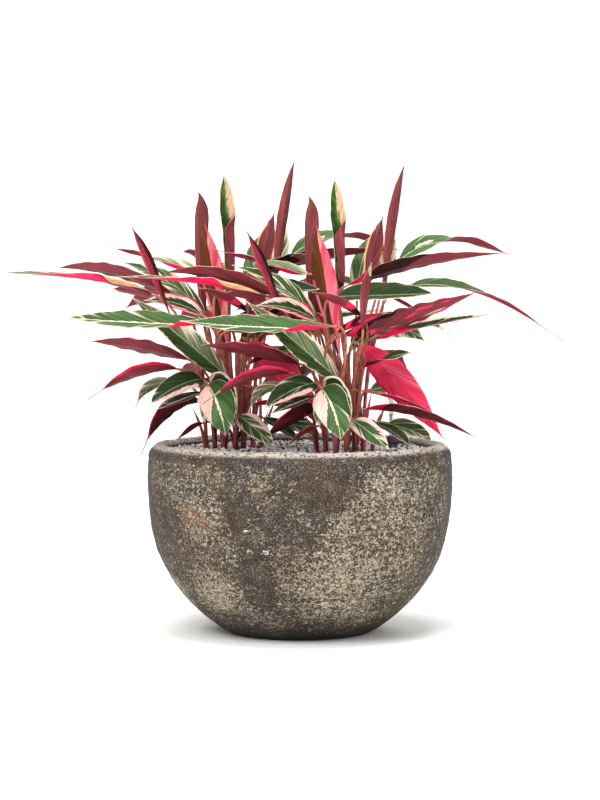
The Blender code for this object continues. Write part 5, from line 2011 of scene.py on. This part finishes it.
@dataclass
class WaterGauge:
    """The stick water gauge: dark collar, clear tube and yellow-marked float."""

    turns: int = 40
    marker_low: float = 0.2630   # the white rod's top, under the yellow marker
    collar: tuple = (
        (0.0037, 0.2368), (0.0044, 0.2375), (0.0060, 0.2375), (0.0070, 0.2366), (0.0074, 0.2352),
        (0.0074, 0.2322), (0.0078, 0.2316), (0.0078, 0.2296), (0.0074, 0.2290), (0.0074, 0.2270),
        (0.0078, 0.2264), (0.0078, 0.2165), (0.0037, 0.2165),
    )
    tube: tuple = (
        (0.0, 0.2860), (0.0022, 0.2859), (0.0031, 0.2854), (0.0035, 0.2845), (0.0035, 0.2600),
        (0.0035, 0.1800), (0.0028, 0.1800), (0.0028, 0.2600), (0.0028, 0.2840), (0.0014, 0.2847),
        (0.0, 0.2848),
    )
    rod: tuple = (
        (0.0, 0.2653), (0.0015, 0.2652), (0.0018, 0.2648), (0.0018, 0.2634), (0.0015, 0.2629),
        (0.0010, 0.2627), (0.0010, 0.1902), (0.0023, 0.1900), (0.0023, 0.1820), (0.0, 0.1820),
    )

    def build(self, dark: Material, clear: Material,
              yellow: Material, white: Material) -> None:
        """Make the three pieces of the gauge.

        Args:
            dark: The collar's finish.
            clear: The tube's finish.
            yellow: The marker's finish.
            white: The rod's finish.
        """
        for profile, closed, materials, name, slot, stands_for in (
                (self.collar, True, (dark,), "gauge_collar", "dark_plastic", "gauge_socket"),
                (self.tube, False, (clear,), "gauge_clear_tube", "clear_plastic", "gauge_tube"),
                (self.rod, False, (yellow, white), "gauge_float_rod", "yellow_plastic",
                 "gauge_float")):
            shape = spin_profile(profile, self.turns, closed, GAUGE_SPOT)
            for face in shape.faces:
                low = face.calc_center_median().z < self.marker_low
                face.material_index = int(low and len(materials) > 1)
            finish_piece(set_down(shape, name, materials), (stands_for,))


# ---------------------------------------------------------------- stage


@dataclass
class Studio:
    """A plain pale sweep, soft lamps and the camera."""

    sweep_half: float = 2.3
    sweep_front: float = 2.3
    sweep_back: float = 4.8
    sweep_bend: float = 2.0
    sweep_height: float = 5.0
    sweep_steps: int = 12        # parts its bend is drawn in
    camera_back: float = 3.0
    camera_height: float = 0.446
    camera_down: float = 3.09    # degrees below level
    camera_lens: float = 146.9

    # the surround's glow: heights it dims between, and its strength below and above them
    surround: tuple = (0.04, 0.30, 1.0, 0.34)

    # name, place, where it points, size in metres and power in watts
    lamps: tuple = (
        ("key", (-1.3, -2.2, 2.6), (0.0, 0.0, 0.25), 2.0, 104.0),
        ("fill", (2.2, -1.8, 1.6), (0.0, 0.0, 0.25), 2.0, 30.0),
        ("top", (0.0, -0.3, 3.0), (0.0, 0.0, 0.25), 1.6, 88.0),
        ("rear", (0.6, 2.4, 1.8), (0.0, 0.0, 0.25), 1.8, 30.0),
        ("backdrop", (0.0, 3.6, 3.6), (0.0, 6.8, 1.0), 2.6, 170.0),
    )

    def build(self) -> None:
        """Set the whole stage."""
        self.set_sweep()
        self.set_lamps()
        self.set_camera()

    def set_sweep(self) -> None:
        """A floor that curves up behind the object."""
        shape = bmesh.new()
        bend = self.sweep_bend
        steps = self.sweep_steps
        turns = [math.pi / 2 * step / steps for step in range(steps + 1)]
        profile = [(-self.sweep_front, 0.0)]
        profile += [(self.sweep_back + math.sin(turn) * bend, bend - math.cos(turn) * bend)
                    for turn in turns]
        profile.append((self.sweep_back + bend, self.sweep_height))
        _, edges = chain(shape, [(-self.sweep_half, y, z) for y, z in profile])
        out = bmesh.ops.extrude_edge_only(shape, edges=edges)
        bmesh.ops.translate(shape, verts=verts_of(out), vec=(self.sweep_half * 2.0, 0.0, 0.0))
        bmesh.ops.recalc_face_normals(shape, faces=shape.faces)
        sweep = set_down(shape, "studio_sweep", (Stuff.PAPER.value.build(),))

    def set_lamps(self) -> None:
        """Soft area lamps and a pale surround, brightest near the horizon."""
        world = bpy.data.worlds.new("studio_surround")
        world.use_nodes = True
        tree = world.node_tree
        way = add_node(tree, "TexCoord").outputs["Generated"]
        level = add_node(tree, "SeparateXYZ", {0: way}).outputs["Z"]
        low, high, below, above = self.surround
        glow = add_node(tree, "MapRange", {0: level, 1: low, 2: high, 3: below, 4: above})
        connect(tree, tree.nodes["Background"], {"Color": "#ffffff", "Strength": glow})
        bpy.context.scene.world = world
        for name, spot, target, size, power in self.lamps:
            lamp = bpy.data.lights.new(name, "AREA")
            lamp.shape = "SQUARE"
            lamp.size = size
            lamp.energy = power
            stand = add_object(name, lamp)
            stand.location = spot
            aim = Vector(target) - Vector(spot)
            stand.rotation_euler = aim.to_track_quat("-Z", "Y").to_euler()

    def set_camera(self) -> None:
        """The camera, straight in front and a little above the lip."""
        lens = bpy.data.cameras.new("view")
        lens.sensor_fit = "HORIZONTAL"
        lens.sensor_width = 36.0
        lens.lens = self.camera_lens
        camera = add_object("view", lens)
        camera.location = (0.0, -self.camera_back, self.camera_height)
        camera.rotation_euler = (math.radians(90.0 - self.camera_down), 0.0, 0.0)
        bpy.context.scene.camera = camera
        bpy.context.scene.view_settings.view_transform = "Standard"


def build_plants() -> None:
    """Set every leaf of both plants and build blades and stems."""
    skin = StemSkin().build()
    margin = Stuff.MARGIN.value.build()
    uppers = {kind: kind.value.build() for kind in Upper}
    unders = {kind: kind.value.build() for kind in Under}
    clearing = Clearing()
    framed = []
    for plant in PLANTS:
        for leaf in FRAMED + (OWN[plant.name],):
            form = framed_form(plant, leaf)
            framed.append(form)
            clearing.add(form)
    added = [clearing.place(plant, leaf) for leaf in ADDED for plant in PLANTS]
    for form in framed:
        Blade(form).build(margin, uppers, unders, True)
    for form in added:
        Blade(form).build(margin, uppers, unders, False)
    for plant in PLANTS:
        forms = [form for form in framed + added if form.plant is plant]
        StemClump(plant).build(forms, skin)


def main() -> None:
    """Build everything in order."""
    logging.basicConfig(level=logging.INFO, format="%(message)s")
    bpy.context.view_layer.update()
    Studio().build()
    Bowl().build(LavaCeramic().build())
    Granules().build(MineralGrit().build())
    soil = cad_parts["substrate"]
    soil.data.materials.clear()
    soil.data.materials.append(Stuff.SOIL.value.build())
    WaterGauge().build(*(stuff.value.build() for stuff in (Stuff.BLACK, Stuff.CLEAR,
                                                           Stuff.YELLOW, Stuff.WHITE)))
    build_plants()


if __name__ == "__main__":
    main()
